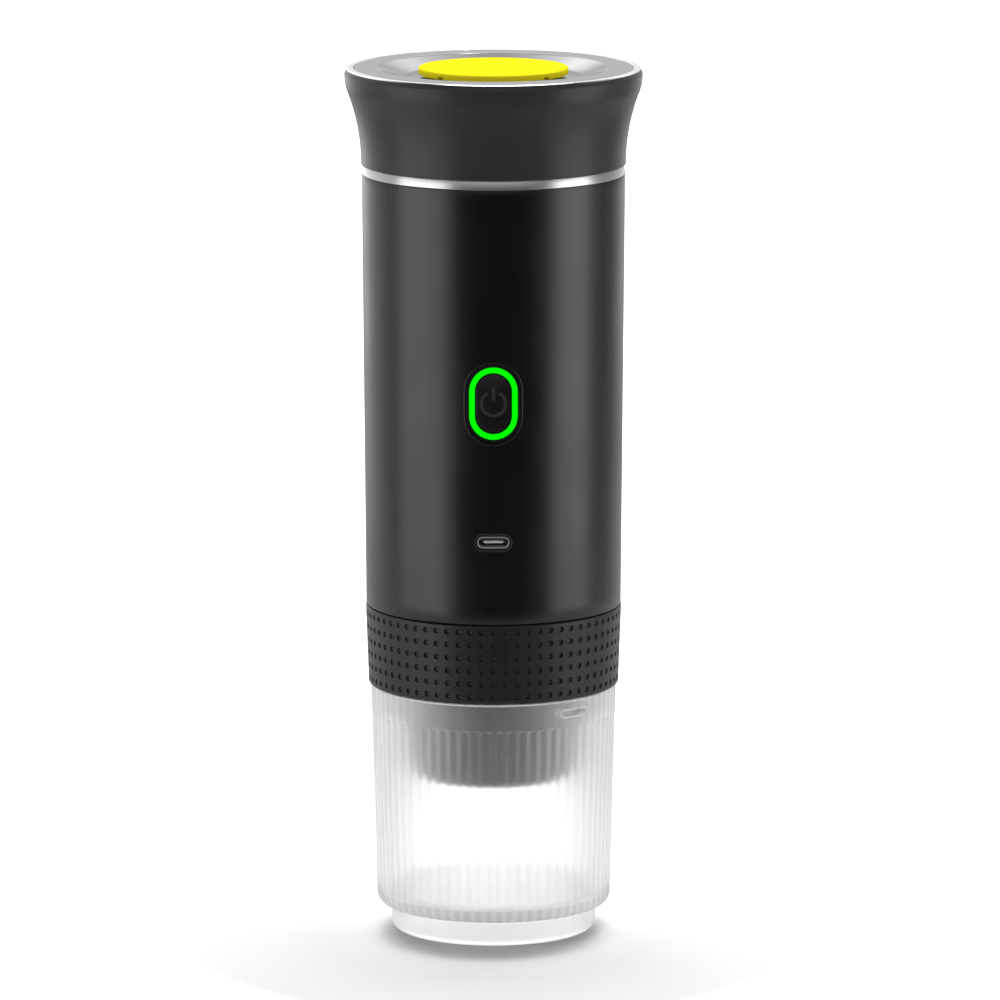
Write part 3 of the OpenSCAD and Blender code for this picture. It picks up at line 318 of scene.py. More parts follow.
def cup_radius(z):
    """The wall leans out in a straight line up to the rim, just under the collar."""
    return CUP_RIM_R - CUP_FALL * (COLLAR_LOW - z)


slot_rows = np.linspace(SLOT_HIGH - 1.7, SLOT_HIGH + 1.7, 15)
wall_rows = np.r_[np.linspace(FOOT_HIGH + CORNER, BAND_LOW - 0.9, 9), np.linspace(BAND_LOW - 0.6, BAND_LOW + 0.3, 5),
                  slot_rows, np.linspace(67.0, CUP_RIM - 0.5, 3)]
wall_face = np.column_stack([cup_radius(wall_rows), wall_rows])
low_r, rim_r = cup_radius(FOOT_HIGH), cup_radius(CUP_RIM)
under = outline(
    line((0.4, FOOT_HIGH - 0.2), (FOOT_IN - 1.2, FOOT_HIGH - 0.2), n=4), arc(FOOT_IN - 1, FOOT_HIGH - 1.2, 1, 90, 0, 6),
    line((FOOT_IN, 5.5), (FOOT_IN, 0.4)), arc(FOOT_IN + 0.3, 0.3, 0.3, 180, 270, 4),
    arc(FOOT_R - 1.6, 1.6, 1.6, -90, 0), line((FOOT_R, 2.2), (FOOT_R, FOOT_HIGH - 0.5), n=3),
    arc(FOOT_R + 0.4, FOOT_HIGH - 0.4, 0.4, 180, 90, 4), arc(low_r - CORNER, FOOT_HIGH + CORNER, CORNER, -90, -6, 10))
rim = outline(arc(rim_r - 0.5, CUP_RIM - 0.5, 0.5, 10, 90, 5),
              arc(rim_r - CUP_WALL + 0.3, CUP_RIM - 0.3, 0.3, 90, 170, 4))
# Above the rounded corner inside, each level of the wall has an inner face too.
hollow = wall_rows > FLOOR_HIGH + 4
inner_rows = wall_rows[hollow][::-1]
inner_face = np.column_stack([cup_radius(inner_rows) - CUP_WALL, inner_rows])
bottom = outline(arc(cup_radius(FLOOR_HIGH + 3) - CUP_WALL - 3, FLOOR_HIGH + 3, 3, 0, -90, 8),
                 line((26, FLOOR_HIGH), (0.4, FLOOR_HIGH), n=4))
cup_path = np.concatenate([under, wall_face, rim, inner_face, bottom])
cup_turns = np.arange(FLUTES * FLUTE_COLUMNS) * 360 / (FLUTES * FLUTE_COLUMNS)
# The flutes are soft waves, deepest half way between two ribs; they run out under the smooth band and round
# the lower corner.
groove = FLUTE_DEEP * (0.5 - 0.5 * np.cos(np.radians(cup_turns) * FLUTES))
outside = np.arange(len(cup_path)) < len(under) + len(wall_face)
reach = np.clip((cup_path[:, 0] - FOOT_R - 0.8) / 1.5, 0, 1) * np.clip((BAND_LOW - cup_path[:, 1]) / 0.6, 0, 1)
cup_points = carried_round(cup_path, cup_turns)
spoke = carried_round(np.array([[1.0, 0.0]]), cup_turns)
cup_points -= spoke * (groove[None, :] * (reach * outside)[:, None])[..., None]
outer_rows = len(under) + np.flatnonzero(hollow)
inner_rows_up = len(under) + len(wall_face) + len(rim) + np.arange(len(inner_rows))[::-1]

# Clear copolyester with a milky haze: it blurs what stands behind it, greys where it is seen edge on, so that
# the flutes show as soft upright bands, and goes white at the rim, where the mould is sand-blasted.
clear_copolyester, tree, shader = finish("clear_copolyester", "#ffffff", {
    "Roughness": 0.34, "IOR": 1.2, "Transmission Weight": 1.0})
where = add(tree, "ShaderNodeTexCoord").outputs["Object"]
level = add(tree, "ShaderNodeSeparateXYZ", {0: where})
# The wall is what lies above the foot and the solid floor.
wall = add(tree, "ShaderNodeMapRange", {"Value": level.outputs["Z"], "From Min": 0.0105, "From Max": 0.0145})
facing = add(tree, "ShaderNodeMath", {0: add(tree, "ShaderNodeLayerWeight", {"Blend": 0.5}).outputs["Facing"],
                                      1: wall.outputs["Result"]}, operation="MULTIPLY")
# Below the basket the haze is thinner.
upper = add(tree, "ShaderNodeMapRange", {"Value": level.outputs["Z"], "From Min": 0.034, "From Max": 0.046,
                                         "To Min": 0.4})
veil = add(tree, "ShaderNodeMath", {0: facing.outputs[0], 1: upper.outputs["Result"]}, operation="MULTIPLY")
clear = add(tree, "ShaderNodeMapRange", {"Value": veil.outputs[0], "From Min": 0.0, "From Max": 0.36,
                                         "To Min": 0.975, "To Max": 0.53})
blasted = add(tree, "ShaderNodeMapRange", {"Value": level.outputs["Z"], "From Min": 0.0681, "From Max": 0.0684,
                                           "To Min": 1.0, "To Max": 0.1})
haze = add(tree, "ShaderNodeMath", {0: clear.outputs["Result"], 1: blasted.outputs["Result"]}, operation="MULTIPLY")
grey = add(tree, "ShaderNodeMapRange", {"Value": facing.outputs[0], "From Min": 0.1, "From Max": 0.8,
                                        "To Min": 1.0, "To Max": 0.97})
# The foot and the solid floor are greyer and less clear, except for narrow clear bands along the foot's lower edge and
# at its top.
# The flutes' valleys are painted shade: darker upright bars, faint on the wall where it faces the eye, stronger where
# it is seen edge on, and full on the grey band at the floor's edge.
# What lies within the foot's ring counts as higher up, so it stays clear.
across = add(tree, "ShaderNodeVectorMath", {0: where, 1: (1, 1, 0)}, operation="MULTIPLY")
radius = add(tree, "ShaderNodeVectorMath", {0: across.outputs[0]}, operation="LENGTH")
within = add(tree, "ShaderNodeMapRange", {"Value": radius.outputs["Value"], "From Min": 0.0262, "From Max": 0.0268,
                                          "To Min": 0.012, "To Max": 0.0})
height = add(tree, "ShaderNodeMath", {0: level.outputs["Z"], 1: within.outputs["Result"]}, operation="ADD")
RAMP_TALL = 20
foot = add(tree, "ShaderNodeValToRGB", {"Fac": add(tree, "ShaderNodeMath", {0: height.outputs[0], 1: 1000 / RAMP_TALL},
                                                   operation="MULTIPLY").outputs[0]})
foot.color_ramp.elements[0].color = (1, 1, 1, 1)
# Clear bands at the foot's lower edge (0 to 1 mm) and near its top (6.9 mm); grey over the foot between them and over
# the floor's edge.
for z, tone in ((1.0, 1.0), (1.9, 0.93), (6.2, 0.93), (6.9, 1.0), (7.2, 0.91), (10.6, 0.91), (11.0, 1.0)):
    stop = foot.color_ramp.elements.new(z / RAMP_TALL)
    stop.color = (tone, tone, tone, 1)
turn = add(tree, "ShaderNodeMath", {0: level.outputs["X"], 1: level.outputs["Y"]}, operation="ARCTAN2")
wave = add(tree, "ShaderNodeMath", {0: add(tree, "ShaderNodeMath", {0: turn.outputs[0], 1: float(FLUTES)},
                                           operation="MULTIPLY").outputs[0]}, operation="COSINE")
valley = add(tree, "ShaderNodeMapRange", {"Value": wave.outputs[0], "From Min": 1.0, "From Max": -1.0})
in_floor_band = add(tree, "ShaderNodeMapRange", {"Value": foot.outputs["Color"], "From Min": 0.925, "From Max": 0.91})
faint = add(tree, "ShaderNodeMath", {0: wall.outputs["Result"], 1: 0.36, 2: in_floor_band.outputs["Result"]},
            operation="MULTIPLY_ADD")
sided = add(tree, "ShaderNodeMath", {0: facing.outputs[0], 1: 1.6, 2: faint.outputs[0]}, operation="MULTIPLY_ADD")
# Painted shade: the flutes' valleys are darkened into upright bars.
valley_shade_bars = add(tree, "ShaderNodeMath", {0: valley.outputs["Result"], 1: sided.outputs[0]}, operation="MULTIPLY")
painted_valley_shade = add(tree, "ShaderNodeMapRange", {"Value": valley_shade_bars.outputs[0], "To Min": 1.0, "To Max": 0.86})
band_clearness = add(tree, "ShaderNodeMapRange", {"Value": foot.outputs["Color"], "From Min": 0.9, "From Max": 1.0,
                                         "To Min": 0.36, "To Max": 1.0})
shown = add(tree, "ShaderNodeMath", {0: haze.outputs[0], 1: band_clearness.outputs["Result"]}, operation="MULTIPLY")
tree.links.new(shown.outputs[0], shader.inputs["Transmission Weight"])
tone = add(tree, "ShaderNodeMath", {0: grey.outputs["Result"], 1: painted_valley_shade.outputs["Result"]}, operation="MULTIPLY")
tint = add(tree, "ShaderNodeVectorMath", {0: foot.outputs["Color"], "Scale": tone.outputs[0]}, operation="SCALE")
tree.links.new(tint.outputs[0], shader.inputs["Base Color"])
cup_points, cup_faces = pierced_round(cup_path, cup_turns, outer_rows, inner_rows_up,
                                      [(SLOT_TURN, SLOT_HIGH, SLOT_WIDE, SLOT_TALL)], cup_points)
piece("fluted_cup", cup_points, cup_faces, "cup", "clear_plastic", clear_copolyester, ["cup"], sharp=40)
# The slot's edge stands up in a low bead: a round section carried along a pill on the wall. The mould is
# sand-blasted there, which makes the bead white and dull.
blasted_copolyester = grained("blasted_copolyester", "#ffffff", {
    "Roughness": 0.6, "Transmission Weight": 0.2, "IOR": 1.2}, size=0.2, height=0.01, strength=0.3)
BEAD_OUT, BEAD_WIDE, BEAD_HIGH, BEAD_SIDES, BEAD_STEPS = 0.2, 0.25, 0.22, 8, 24
section = np.radians(np.linspace(0, 360, BEAD_SIDES, endpoint=False))[:, None]
u, v = level_pill((SLOT_WIDE - SLOT_TALL) / 2, SLOT_TALL / 2 + BEAD_OUT + BEAD_WIDE * np.cos(section), BEAD_STEPS)
r = cup_radius(SLOT_HIGH + v) + BEAD_HIGH * np.sin(section)
piece("slot_bead", bent_round(u, r, SLOT_HIGH + v, SLOT_TURN), grid_faces(BEAD_SIDES, 2 * BEAD_STEPS, True, True),
      "cup", "clear_plastic", blasted_copolyester)

# --- Brew chamber -------------------------------------------------------------------------------
# Smoke-grey polypropylene basket with a spigot that drops into the cup and a screw socket above it. It
# holds the black capsule adapter, the spiked plate, a soft nozzle and the gasket under the brew head.


def paint(made, *names):
    """Gives CAD nodes a finished material in place of their plain one."""
    for name in names:
        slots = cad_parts[name].data.materials
        slots.clear()
        slots.append(made)


ROUND = np.arange(0, 360, 1.5)


def turned_piece(name, path, body, slot, made, nodes=(), sharp=35):
    """An outline carried about Z. One that starts and ends on the axis closes there; any other is a loop."""
    open_ends = path[0, 0] < 0.01 and path[-1, 0] < 0.01
    piece(name, carried_round(path, ROUND), grid_faces(len(path), len(ROUND), not open_ends, True),
          body, slot, made, nodes, sharp)


def closed_bars(points):
    """Bars given as bar, section, corner: the middle of the first and of the last section closes each end."""
    ends = points[:, [0, -1]].mean(2, keepdims=True).repeat(points.shape[2], 2)
    points = np.concatenate([ends[:, :1], points, ends[:, 1:]], 1)
    valley_shade_bars, sections, corners = points.shape[:3]
    faces = grid_faces(sections, corners, False, True).reshape(1, -1, 4)
    return points, faces + sections * corners * np.arange(valley_shade_bars)[:, None, None]


RIDGE_STEPS, RIDGE_SUNK, RIDGE_HALF, CREST_HALF = 80, 0.15, 0.9, 0.45


def screw_ridges(wall, crest, low, high, lead, starts, shift):
    """A screw thread's ridges. A trapezium from just inside the wall to the crest is carried along each
    helix, whose height is the lead times the turn less a shift; both ends fade into the wall."""
    t = np.linspace(0, 1, RIDGE_STEPS)[None, :, None]
    fade = np.clip(10 * np.minimum(t, 1 - t), 0.02, 1)
    root = wall + RIDGE_SUNK * np.sign(wall - crest)
    r = root + (crest - root) * fade * np.array([0.0, 1.0, 1.0, 0.0])
    z = low + (high - low) * t
    a = 2 * np.pi * ((z + shift) / lead + np.arange(starts)[:, None, None] / starts)
    z = z + fade * np.array([-RIDGE_HALF, -CREST_HALF, CREST_HALF, RIDGE_HALF])
    return closed_bars(np.stack(np.broadcast_arrays(r * np.sin(a), -r * np.cos(a), z), -1))


# Smoke-grey polypropylene: dark and soft, and mid grey where it is seen through the hazy cup.
smoke_polypropylene = grained("smoke_polypropylene", "#3e3e3f", {"Roughness": 0.5, "Specular IOR Level": 0.3},
                              size=1.5, height=0.002, strength=0.1)
chamber_path = outline(
    line((4.0, 43.6), (7.2, 43.6), (7.6, 42.2), (18.9, 42.7)), arc(18.9, 47.55, 4.85, -88, -4, 12),
    line((23.75, 47.3), (25.5, COLLAR_LOW), n=4),
    line((25.5, COLLAR_LOW), (29.35, COLLAR_LOW), (29.15, 61.6), (30.55, 61.6), (30.95, 62.0), (31.15, COLLAR_LOW),
         (32.3, COLLAR_LOW), (32.3, COLLAR_HIGH), (30.4, COLLAR_HIGH), (29.8, 90.6), (29.8, 74.4), (23.7, 74.4),
         (23.7, COLLAR_LOW), (22.0, 51.0)),
    arc(17.0, 51.0, 5.0, 0, -90, 9), line((17.0, 46.0), (4.0, 46.0)))
turned_piece("chamber_basket", chamber_path, "chamber", "black_plastic", smoke_polypropylene, ["chamber_body"])
# Behind the cup's slot lies a pad of the same plastic, a pill pressed onto the spigot. Its pale tone is painted light:
# it stands in for the light on the spigot behind the slot.
pad_painted_light = grained("smoke_polypropylene_painted_light", "#c8c8c8", {"Roughness": 0.5, "Specular IOR Level": 0.3},
                             size=1.5, height=0.002, strength=0.1)
PAD_HALF, PAD_END, PAD_IN, PAD_OUT, PAD_STEPS = 3.7, 1.2, 30.8, 31.2, 12
share = np.array([0.0, 1.0, 1.0, 0.0])[:, None]
u, v = level_pill(PAD_HALF * share, PAD_END * share, PAD_STEPS)
r = np.array([PAD_IN, PAD_IN, PAD_OUT, PAD_OUT])[:, None] + 0 * u
piece("slot_pad", bent_round(u, r, SLOT_HIGH + v, SLOT_TURN), grid_faces(4, 2 * PAD_STEPS, False, True),
      "chamber", "black_plastic", pad_painted_light)
BREW_LEAD, BREW_STARTS = 16.0, 4
piece("chamber_thread", *screw_ridges(wall=29.8, crest=28.9, low=81.0, high=90.0, lead=BREW_LEAD,
                                     starts=BREW_STARTS, shift=0.0),
      "chamber", "black_plastic", smoke_polypropylene)

# Black polypropylene: moulded, half gloss with a fine grain.
black_polypropylene = grained("black_polypropylene", "#131313", {"Roughness": 0.38}, size=0.6, height=0.02)
turned_piece("adapter_cup", outline(
    line((0.0, 46.7), (13.6, 46.7)), arc(13.6, 47.3, 0.6, -90, -6, 5), line((14.3, 48.0), (17.0, 72.9), (23.3, 72.9),
    (23.3, 74.4), (28.4, 74.4), (28.4, 77.1), (28.1, 77.4), (19.1, 77.4), (18.9, 77.2), (18.9, 76.2)),
    arc(16.0, 75.6, 0.6, 90, 174, 6), line((15.4, 75.6), (12.7, 48.8), (12.1, 48.3), (0.0, 48.3))),
    "chamber", "black_plastic", black_polypropylene, ["capsule_adapter"])
paint(black_polypropylene, "brew_head")

# Silicone: soft and matt; the nozzle is black and the gaskets are pale.
black_silicone = grained("black_silicone", "#0e0e0e", {"Roughness": 0.6}, size=0.4, height=0.02)
turned_piece("nozzle_soft", outline(
    line((1.8, 46.0), (1.8, 41.0)), arc(2.2, 41.0, 0.4, 180, 270, 4), arc(5.2, 41.2, 0.6, -90, -20, 5),
    line((5.9, 41.4), (6.5, 42.6), (6.5, 43.6), (3.9, 43.6), (3.9, 46.0))),
    "chamber", "black_silicone", black_silicone, ["outlet_nozzle"])
paint(black_silicone, "pump_seal")
pale_silicone = grained("pale_silicone", "#c9c7be", {"Roughness": 0.55, "Subsurface Weight": 0.1},
                        size=0.5, height=0.02)
turned_piece("brew_gasket_soft", outline(
    arc(19.9, 78.0, 0.6, 180, 270, 5), arc(27.3, 78.0, 0.6, -90, 0, 5), arc(27.3, 79.8, 0.6, 0, 90, 5),
    line((25.0, 80.4), (24.6, 80.1), (22.4, 80.1), (22.0, 80.4)), arc(19.9, 79.8, 0.6, 90, 180, 5)),
    "brew_seal", "seal_silicone", pale_silicone, ["brew_gasket"])
paint(pale_silicone, "lid_gasket", "inlet_hose")

# Stainless steel sheet and wire: stamped and tumbled, bright with faint dimples.
stamped_steel = grained("stamped_steel", "#c4c6c8", {"Roughness": 0.34, "Metallic": 1.0},
                        size=0.8, height=0.01, strength=0.2)
paint(stamped_steel, "pierce_plate", "needle_plate", "inlet_filter", "heater_element", "frame_screws",
      "cell_strip", "motor_shaft")
piece("head_thread", *screw_ridges(wall=28.4, crest=29.3, low=82.2, high=90.2, lead=BREW_LEAD,
                                  starts=BREW_STARTS, shift=2.0),
      "main", "black_plastic", black_polypropylene)

# --- Grip band ----------------------------------------------------------------------------------
# Dark grey rubber band moulded round the collar, with six rows of shallow round dimples for the fingers.
# It is a little wider at the top, and both its edges are rounded.
GRIP_LOW, GRIP_HIGH, GRIP_LOW_R, GRIP_TOP_R, GRIP_IN = 69.1, 90.9, 34.4, 35.2, 32.4
GRIP_MIDDLE, GRIP_MIDDLE_R, GRIP_EDGE = 80.0, 34.8, 0.4
DIMPLE_ROWS, DIMPLE_COLUMNS, DIMPLE_PITCH, DIMPLE_R, DIMPLE_SIDES = 6, 68, 3.6, 0.8, 16


def grip_radius(z):
    """The grip widens in a straight line from the collar's lower edge to its upper one."""
    return GRIP_LOW_R + (GRIP_TOP_R - GRIP_LOW_R) * (z - COLLAR_LOW) / COLLAR_TALL


def dimpled_band():
    """Each dimple has a square cell. From its middle out, rings of sixteen points go over the bowl's floor
    and up its steep side to a crisp edge, then to the cell's border, where neighbours share their points."""
    a = np.radians(np.arange(DIMPLE_SIDES) * 360 / DIMPLE_SIDES - 180)
    circle = np.stack([np.cos(a), np.sin(a)], -1)
    square = circle / np.abs(circle).max(1, keepdims=True)
    half = np.array([np.pi * GRIP_MIDDLE_R / DIMPLE_COLUMNS, DIMPLE_PITCH / 2])
    rings = [0.001 * circle, 0.55 * DIMPLE_R * circle, 0.9 * DIMPLE_R * circle, DIMPLE_R * circle, square * half]
    deep = np.array([0.6, 0.56, 0.36, 0.0, 0.0])
    cell = np.stack(rings)
    low, high = GRIP_LOW + GRIP_EDGE, GRIP_HIGH - GRIP_EDGE
    rows = (np.arange(DIMPLE_ROWS) - (DIMPLE_ROWS - 1) / 2) * DIMPLE_PITCH + GRIP_MIDDLE
    z = np.clip(cell[None, None, :, :, 1] + rows[:, None, None, None], low, high)
    turn = np.arange(DIMPLE_COLUMNS) * 2 * np.pi / DIMPLE_COLUMNS
    swing = cell[None, None, :, :, 0] / half[0] * np.pi / DIMPLE_COLUMNS + turn[None, :, None, None]
    z, swing = z + 0 * swing, swing + 0 * z
    r = grip_radius(z) - deep[None, None, :, None]
    points = np.stack([r * np.sin(swing), -r * np.cos(swing), z], -1).reshape(-1, 3)
    ring = grid_faces(len(rings), DIMPLE_SIDES, False, True).reshape(1, -1, 4)
    first = np.arange(DIMPLE_ROWS * DIMPLE_COLUMNS)[:, None, None] * len(rings) * DIMPLE_SIDES
    faces = (ring + first).reshape(-1, 4)
    border = np.linspace(0, 360, DIMPLE_COLUMNS * 4, endpoint=False) - 180 / DIMPLE_COLUMNS
    edge = outline(arc(grip_radius(high) - GRIP_EDGE, high, GRIP_EDGE, 0, 90, 5),
                   line((GRIP_IN, GRIP_HIGH), (GRIP_IN, GRIP_LOW)),
                   arc(grip_radius(low) - GRIP_EDGE, low, GRIP_EDGE, -90, 0, 5))
    back = carried_round(edge, border)
    back_faces = grid_faces(len(edge), len(border), False, True).reshape(-1, 4) + len(points)
    return np.concatenate([points, back.reshape(-1, 3)]), np.concatenate([faces, back_faces])


# Rubber: dark grey, with a grain that breaks up its soft highlight. The real grain is finer; it is drawn this
# coarse so that it shows.
grip_rubber = grained("grip_rubber", "#212122", {"Roughness": 0.4, "Specular IOR Level": 0.32},
                      size=0.9, height=0.08, strength=0.7)
piece("grip_band_dimpled", *dimpled_band(), "chamber", "grip_rubber", grip_rubber, ["grip_band"], sharp=50)

# --- Machine inside -----------------------------------------------------------------------------
# Nylon decks with posts, three wrapped cells, a small pump under its motor, the hose, the board and
# the aluminium heater below the tank. All of it is closed in by the sleeve.
for name, base, dull, metal, size, height, nodes in (
        # Glass-filled nylon: grey and matt, with fibres in its surface.
        ("glass_filled_nylon", "#4a4a4e", 0.5, 0.0, 0.7, 0.04, ("upper_deck", "lower_frame", "bell_housing")),
        # Acetal: white and waxy.
        ("white_acetal", "#d8d8d4", 0.4, 0.0, 0.6, 0.02,
         ("pump_head", "cell_holders", "thermal_fuse", "thermistor", "switch_plunger")),
        # Cast aluminium: pale and frosty.
        ("cast_aluminium", "#b9babb", 0.42, 1.0, 1.2, 0.05, ("heater_plate", "pump_motor")),
        # Shrink wrap: glossy blue, slightly wavy.
        ("blue_shrink_wrap", "#2c6ea0", 0.25, 0.0, 3.0, 0.05, ("battery_cells",)),
        # Solder mask: glossy green over the board's weave.
        ("solder_mask_green", "#14532f", 0.3, 0.0, 1.5, 0.03, ("main_board",)),
        # Moulding epoxy: black and dull.
        ("black_epoxy", "#1a1a1a", 0.45, 0.0, 0.3, 0.01, ("board_parts", "tact_switch")),
        # Turned brass: bright and yellow.
        ("turned_brass", "#c8a14e", 0.25, 1.0, 0.5, 0.01, ("shaft_coupling",))):
    paint(grained(name, base, {"Roughness": dull, "Metallic": metal}, size, height), *nodes)

# --- Sleeve -------------------------------------------------------------------------------------
# Tapered tube of black ABS with a satin coat, open at the front for the button and the charging port.
# It stands on the collar, and the neck ring lies on its upper edge.
SLEEVE_LOW, SLEEVE_HIGH, SLEEVE_R, SLEEVE_LOSS, SLEEVE_WALL = 91.2, 210.4, 36.0, 0.95, 2.0
BUTTON_HIGH, RECESS_WIDE, RECESS_TALL, PORT_HIGH = 152.1, 15.3, 22.3, 113.9
PORT_WIDE, PORT_TALL = 10.4, 5.1


def sleeve_radius(z):
    """The sleeve widens in a straight line from its lower edge to the neck."""
    return SLEEVE_R - SLEEVE_LOSS * (SLEEVE_HIGH - z) / (SLEEVE_HIGH - SLEEVE_LOW)


# Levels lie close together along the port and along the button's recess.
sleeve_rows = np.r_[91.5, np.linspace(95, 108, 4), np.linspace(111.2, 116.6, 24), np.linspace(120, 138, 5),
                    np.linspace(140.6, 164.3, 62), np.linspace(168, 208, 8), 210.2]
sleeve_face = np.column_stack([sleeve_radius(sleeve_rows), sleeve_rows])
sleeve_back = (sleeve_face - [SLEEVE_WALL, 0])[::-1]
sleeve_low_r = sleeve_radius(SLEEVE_LOW)
low_edge = [[sleeve_low_r - 1.9, SLEEVE_LOW], [sleeve_low_r - 0.3, SLEEVE_LOW], [sleeve_low_r - 0.1, SLEEVE_LOW + 0.08]]
top_edge = [[SLEEVE_R - 0.06, SLEEVE_HIGH - 0.06], [SLEEVE_R - 0.2, SLEEVE_HIGH], [SLEEVE_R - 1.9, SLEEVE_HIGH]]
sleeve_path = np.concatenate([low_edge, sleeve_face, top_edge, sleeve_back])
sleeve_turns = np.r_[np.linspace(-17, 17, 110), np.linspace(17, 343, 120)[1:-1]]
front_rows = len(low_edge) + np.arange(len(sleeve_rows))
back_rows = len(low_edge) + len(sleeve_face) + len(top_edge) + np.arange(len(sleeve_rows))[::-1]
# Coated ABS: near black, with a broad soft highlight down each side.
satin_abs = grained("satin_coated_abs", "#080808", {"Roughness": 0.33}, size=0.5, height=0.004, strength=0.2)
piece("sleeve_tube", *pierced_round(sleeve_path, sleeve_turns, front_rows, back_rows, [
    (0.0, BUTTON_HIGH, RECESS_WIDE, RECESS_TALL), (0.0, PORT_HIGH, PORT_WIDE, PORT_TALL)]),
    "main", "satin_black", satin_abs, ["outer_sleeve"])

# --- Button and port ----------------------------------------------------------------------------
# A flat black face behind the opening carries a lit green light guide and the button with a printed standby
# sign. Below it a metal charging port sits in a soft ring.


def pill_loops(rows, level, n=9):
    """Outlines of width, height and place along Y, one to a row, about the given level. Each corner is an
    arc of half the smaller size, n points long: its centre plus that radius times cosine and sine."""
    w, h, y = (np.array(rows, float) / [2, 2, 1]).T[:, :, None]
    a = np.radians(np.linspace([0, 90, 180, 270], [90, 180, 270, 360], n, axis=1)).reshape(1, -1)
    r = np.minimum(w, h)
    x = np.repeat([1, -1, -1, 1], n) * (w - r) + r * np.cos(a)
    z = np.repeat([1, 1, -1, -1], n) * (h - r) + r * np.sin(a) + level
    return np.stack([x, y + 0 * x, z], -1)


def pill_piece(name, rows, level, body, slot, made, nodes):
    """Pill outlines joined row to row. Rows that end in points close there; any others make a ring."""
    points = pill_loops(rows, level)
    piece(name, points, grid_faces(*points.shape[:2], rows[0][0] > 0, True), body, slot, made, nodes)


def on_sleeve(rows, level):
    """Pill outlines pressed onto the sleeve: y is the row's depth less the root of the sleeve's radius squared
    less x squared."""
    points = pill_loops(rows, level)
    points[..., 1] -= np.sqrt(sleeve_radius(points[..., 2]) ** 2 - points[..., 0] ** 2)
    return points


# The recess for the button has a low rounded bead along its edge.
edge = np.array([(0.8, 0.05), (0.65, -0.04), (0.4, -0.07), (0.15, -0.04), (-0.02, 0.1), (-0.02, 0.6), (0.8, 0.6)])
edge = on_sleeve(np.column_stack([RECESS_WIDE + edge[:, 0], RECESS_TALL + edge[:, 0], edge[:, 1]]), BUTTON_HIGH)
piece("button_recess_edge", edge, grid_faces(*edge.shape[:2], True, True), "main", "satin_black", satin_abs, sharp=60)
pill_piece("button_face", [
    (15.1, 22.1, -30.74), (15.1, 22.1, -34.44), (14.9, 21.9, -34.54), (13.6, 20.3, -34.54), (13.4, 20.1, -34.44),
    (13.4, 20.1, -31.04), (5.6, 5.6, -31.04), (5.6, 5.6, -29.54), (20.0, 26.9, -29.54), (20.0, 26.9, -30.74)],
    BUTTON_HIGH, "main", "black_plastic", black_polypropylene, ["button_housing"])
# Acrylic light guide: lit from behind, it shows one even pure green.
light_guide = grained("lit_light_guide", "#002a00", {
    "Roughness": 0.4, "Emission Color": linear("#00ff00"), "Emission Strength": 1.0, "Specular IOR Level": 0.1},
    size=0.5, height=0.004, strength=0.2)
# Only its front face glows; the walls are masked in the mould.
tree = light_guide.node_tree
ahead = add(tree, "ShaderNodeSeparateXYZ", {0: add(tree, "ShaderNodeTexCoord").outputs["Object"]})
front = add(tree, "ShaderNodeMapRange", {"Value": ahead.outputs["Y"], "From Min": -0.03457, "From Max": -0.03462,
                                         "To Min": 0.0, "To Max": 1.0})
tree.links.new(front.outputs["Result"], tree.nodes["Principled BSDF"].inputs["Emission Strength"])
pill_piece("light_guide_ring", [
    (13.2, 19.9, -31.04), (13.2, 19.9, -34.56), (13.04, 19.74, -34.64), (10.16, 16.86, -34.64), (10.0, 16.7, -34.56),
    (10.0, 16.7, -31.04)], BUTTON_HIGH, "main", "light_guide", light_guide, ["light_ring"])
# Button ABS: black, half gloss, as the sleeve but without its coat.
button_black = grained("button_black", "#121212", {"Roughness": 0.34}, size=0.5, height=0.004, strength=0.2)
pill_piece("button_cap_round", [
    (0, 0, -34.64), (8.8, 15.5, -34.64), (9.2, 15.9, -34.56), (9.4, 16.1, -34.34), (9.4, 16.1, -32.14),
    (5.0, 5.0, -32.14), (5.0, 5.0, -30.14), (0, 0, -30.14)],
    BUTTON_HIGH, "button", "button_black", button_black, ["button_cap"])
# Standby sign: a ring with a gap at its top and a bar in the gap, pad printed in dull grey ink.
sign_grey = grained("grey_pad_print", "#272727", {"Roughness": 0.6}, size=0.2, height=0.004, strength=0.2)
SIGN_R, SIGN_LINE, SIGN_FRONT, SIGN_BACK = 3.28, 0.86, -34.67, -34.5
SIGN_GAP, BAR_LOW, BAR_HIGH, SIGN_STEPS = 27, 0.78, 4.6, 60
breadth = SIGN_LINE / 2 * np.array([1, 1, -1, -1])
t = np.radians(np.linspace(SIGN_GAP, 360 - SIGN_GAP, SIGN_STEPS))[:, None]
r = SIGN_R + breadth
y = np.array([SIGN_BACK, SIGN_FRONT, SIGN_FRONT, SIGN_BACK])
sign_ring = np.stack(np.broadcast_arrays(r * np.sin(t), y, BUTTON_HIGH + r * np.cos(t)), -1)
z = np.linspace(BAR_LOW, BAR_HIGH, SIGN_STEPS)[:, None]
sign_bar = np.stack(np.broadcast_arrays(breadth, y, BUTTON_HIGH + z), -1)
piece("standby_sign", *closed_bars(np.stack([sign_ring, sign_bar])), "button", "button_black", sign_grey)
# Drawn steel shell, nickel plated, so it is pale, warm and matt.
nickel_plate = grained("nickel_plated_steel", "#b0aeaa", {"Roughness": 0.4, "Metallic": 0.5},
                       size=0.4, height=0.004, strength=0.2)
pill_piece("port_shell_drawn", [
    (0, 0, -25.54), (8.94, 3.26, -25.54), (8.94, 3.26, -34.63), (8.84, 3.16, -34.73), (8.24, 2.56, -34.73),
    (8.14, 2.46, -34.63), (8.14, 2.46, -27.74), (0, 0, -27.74)],
    PORT_HIGH, "main", "steel", nickel_plate, ["port_shell"])
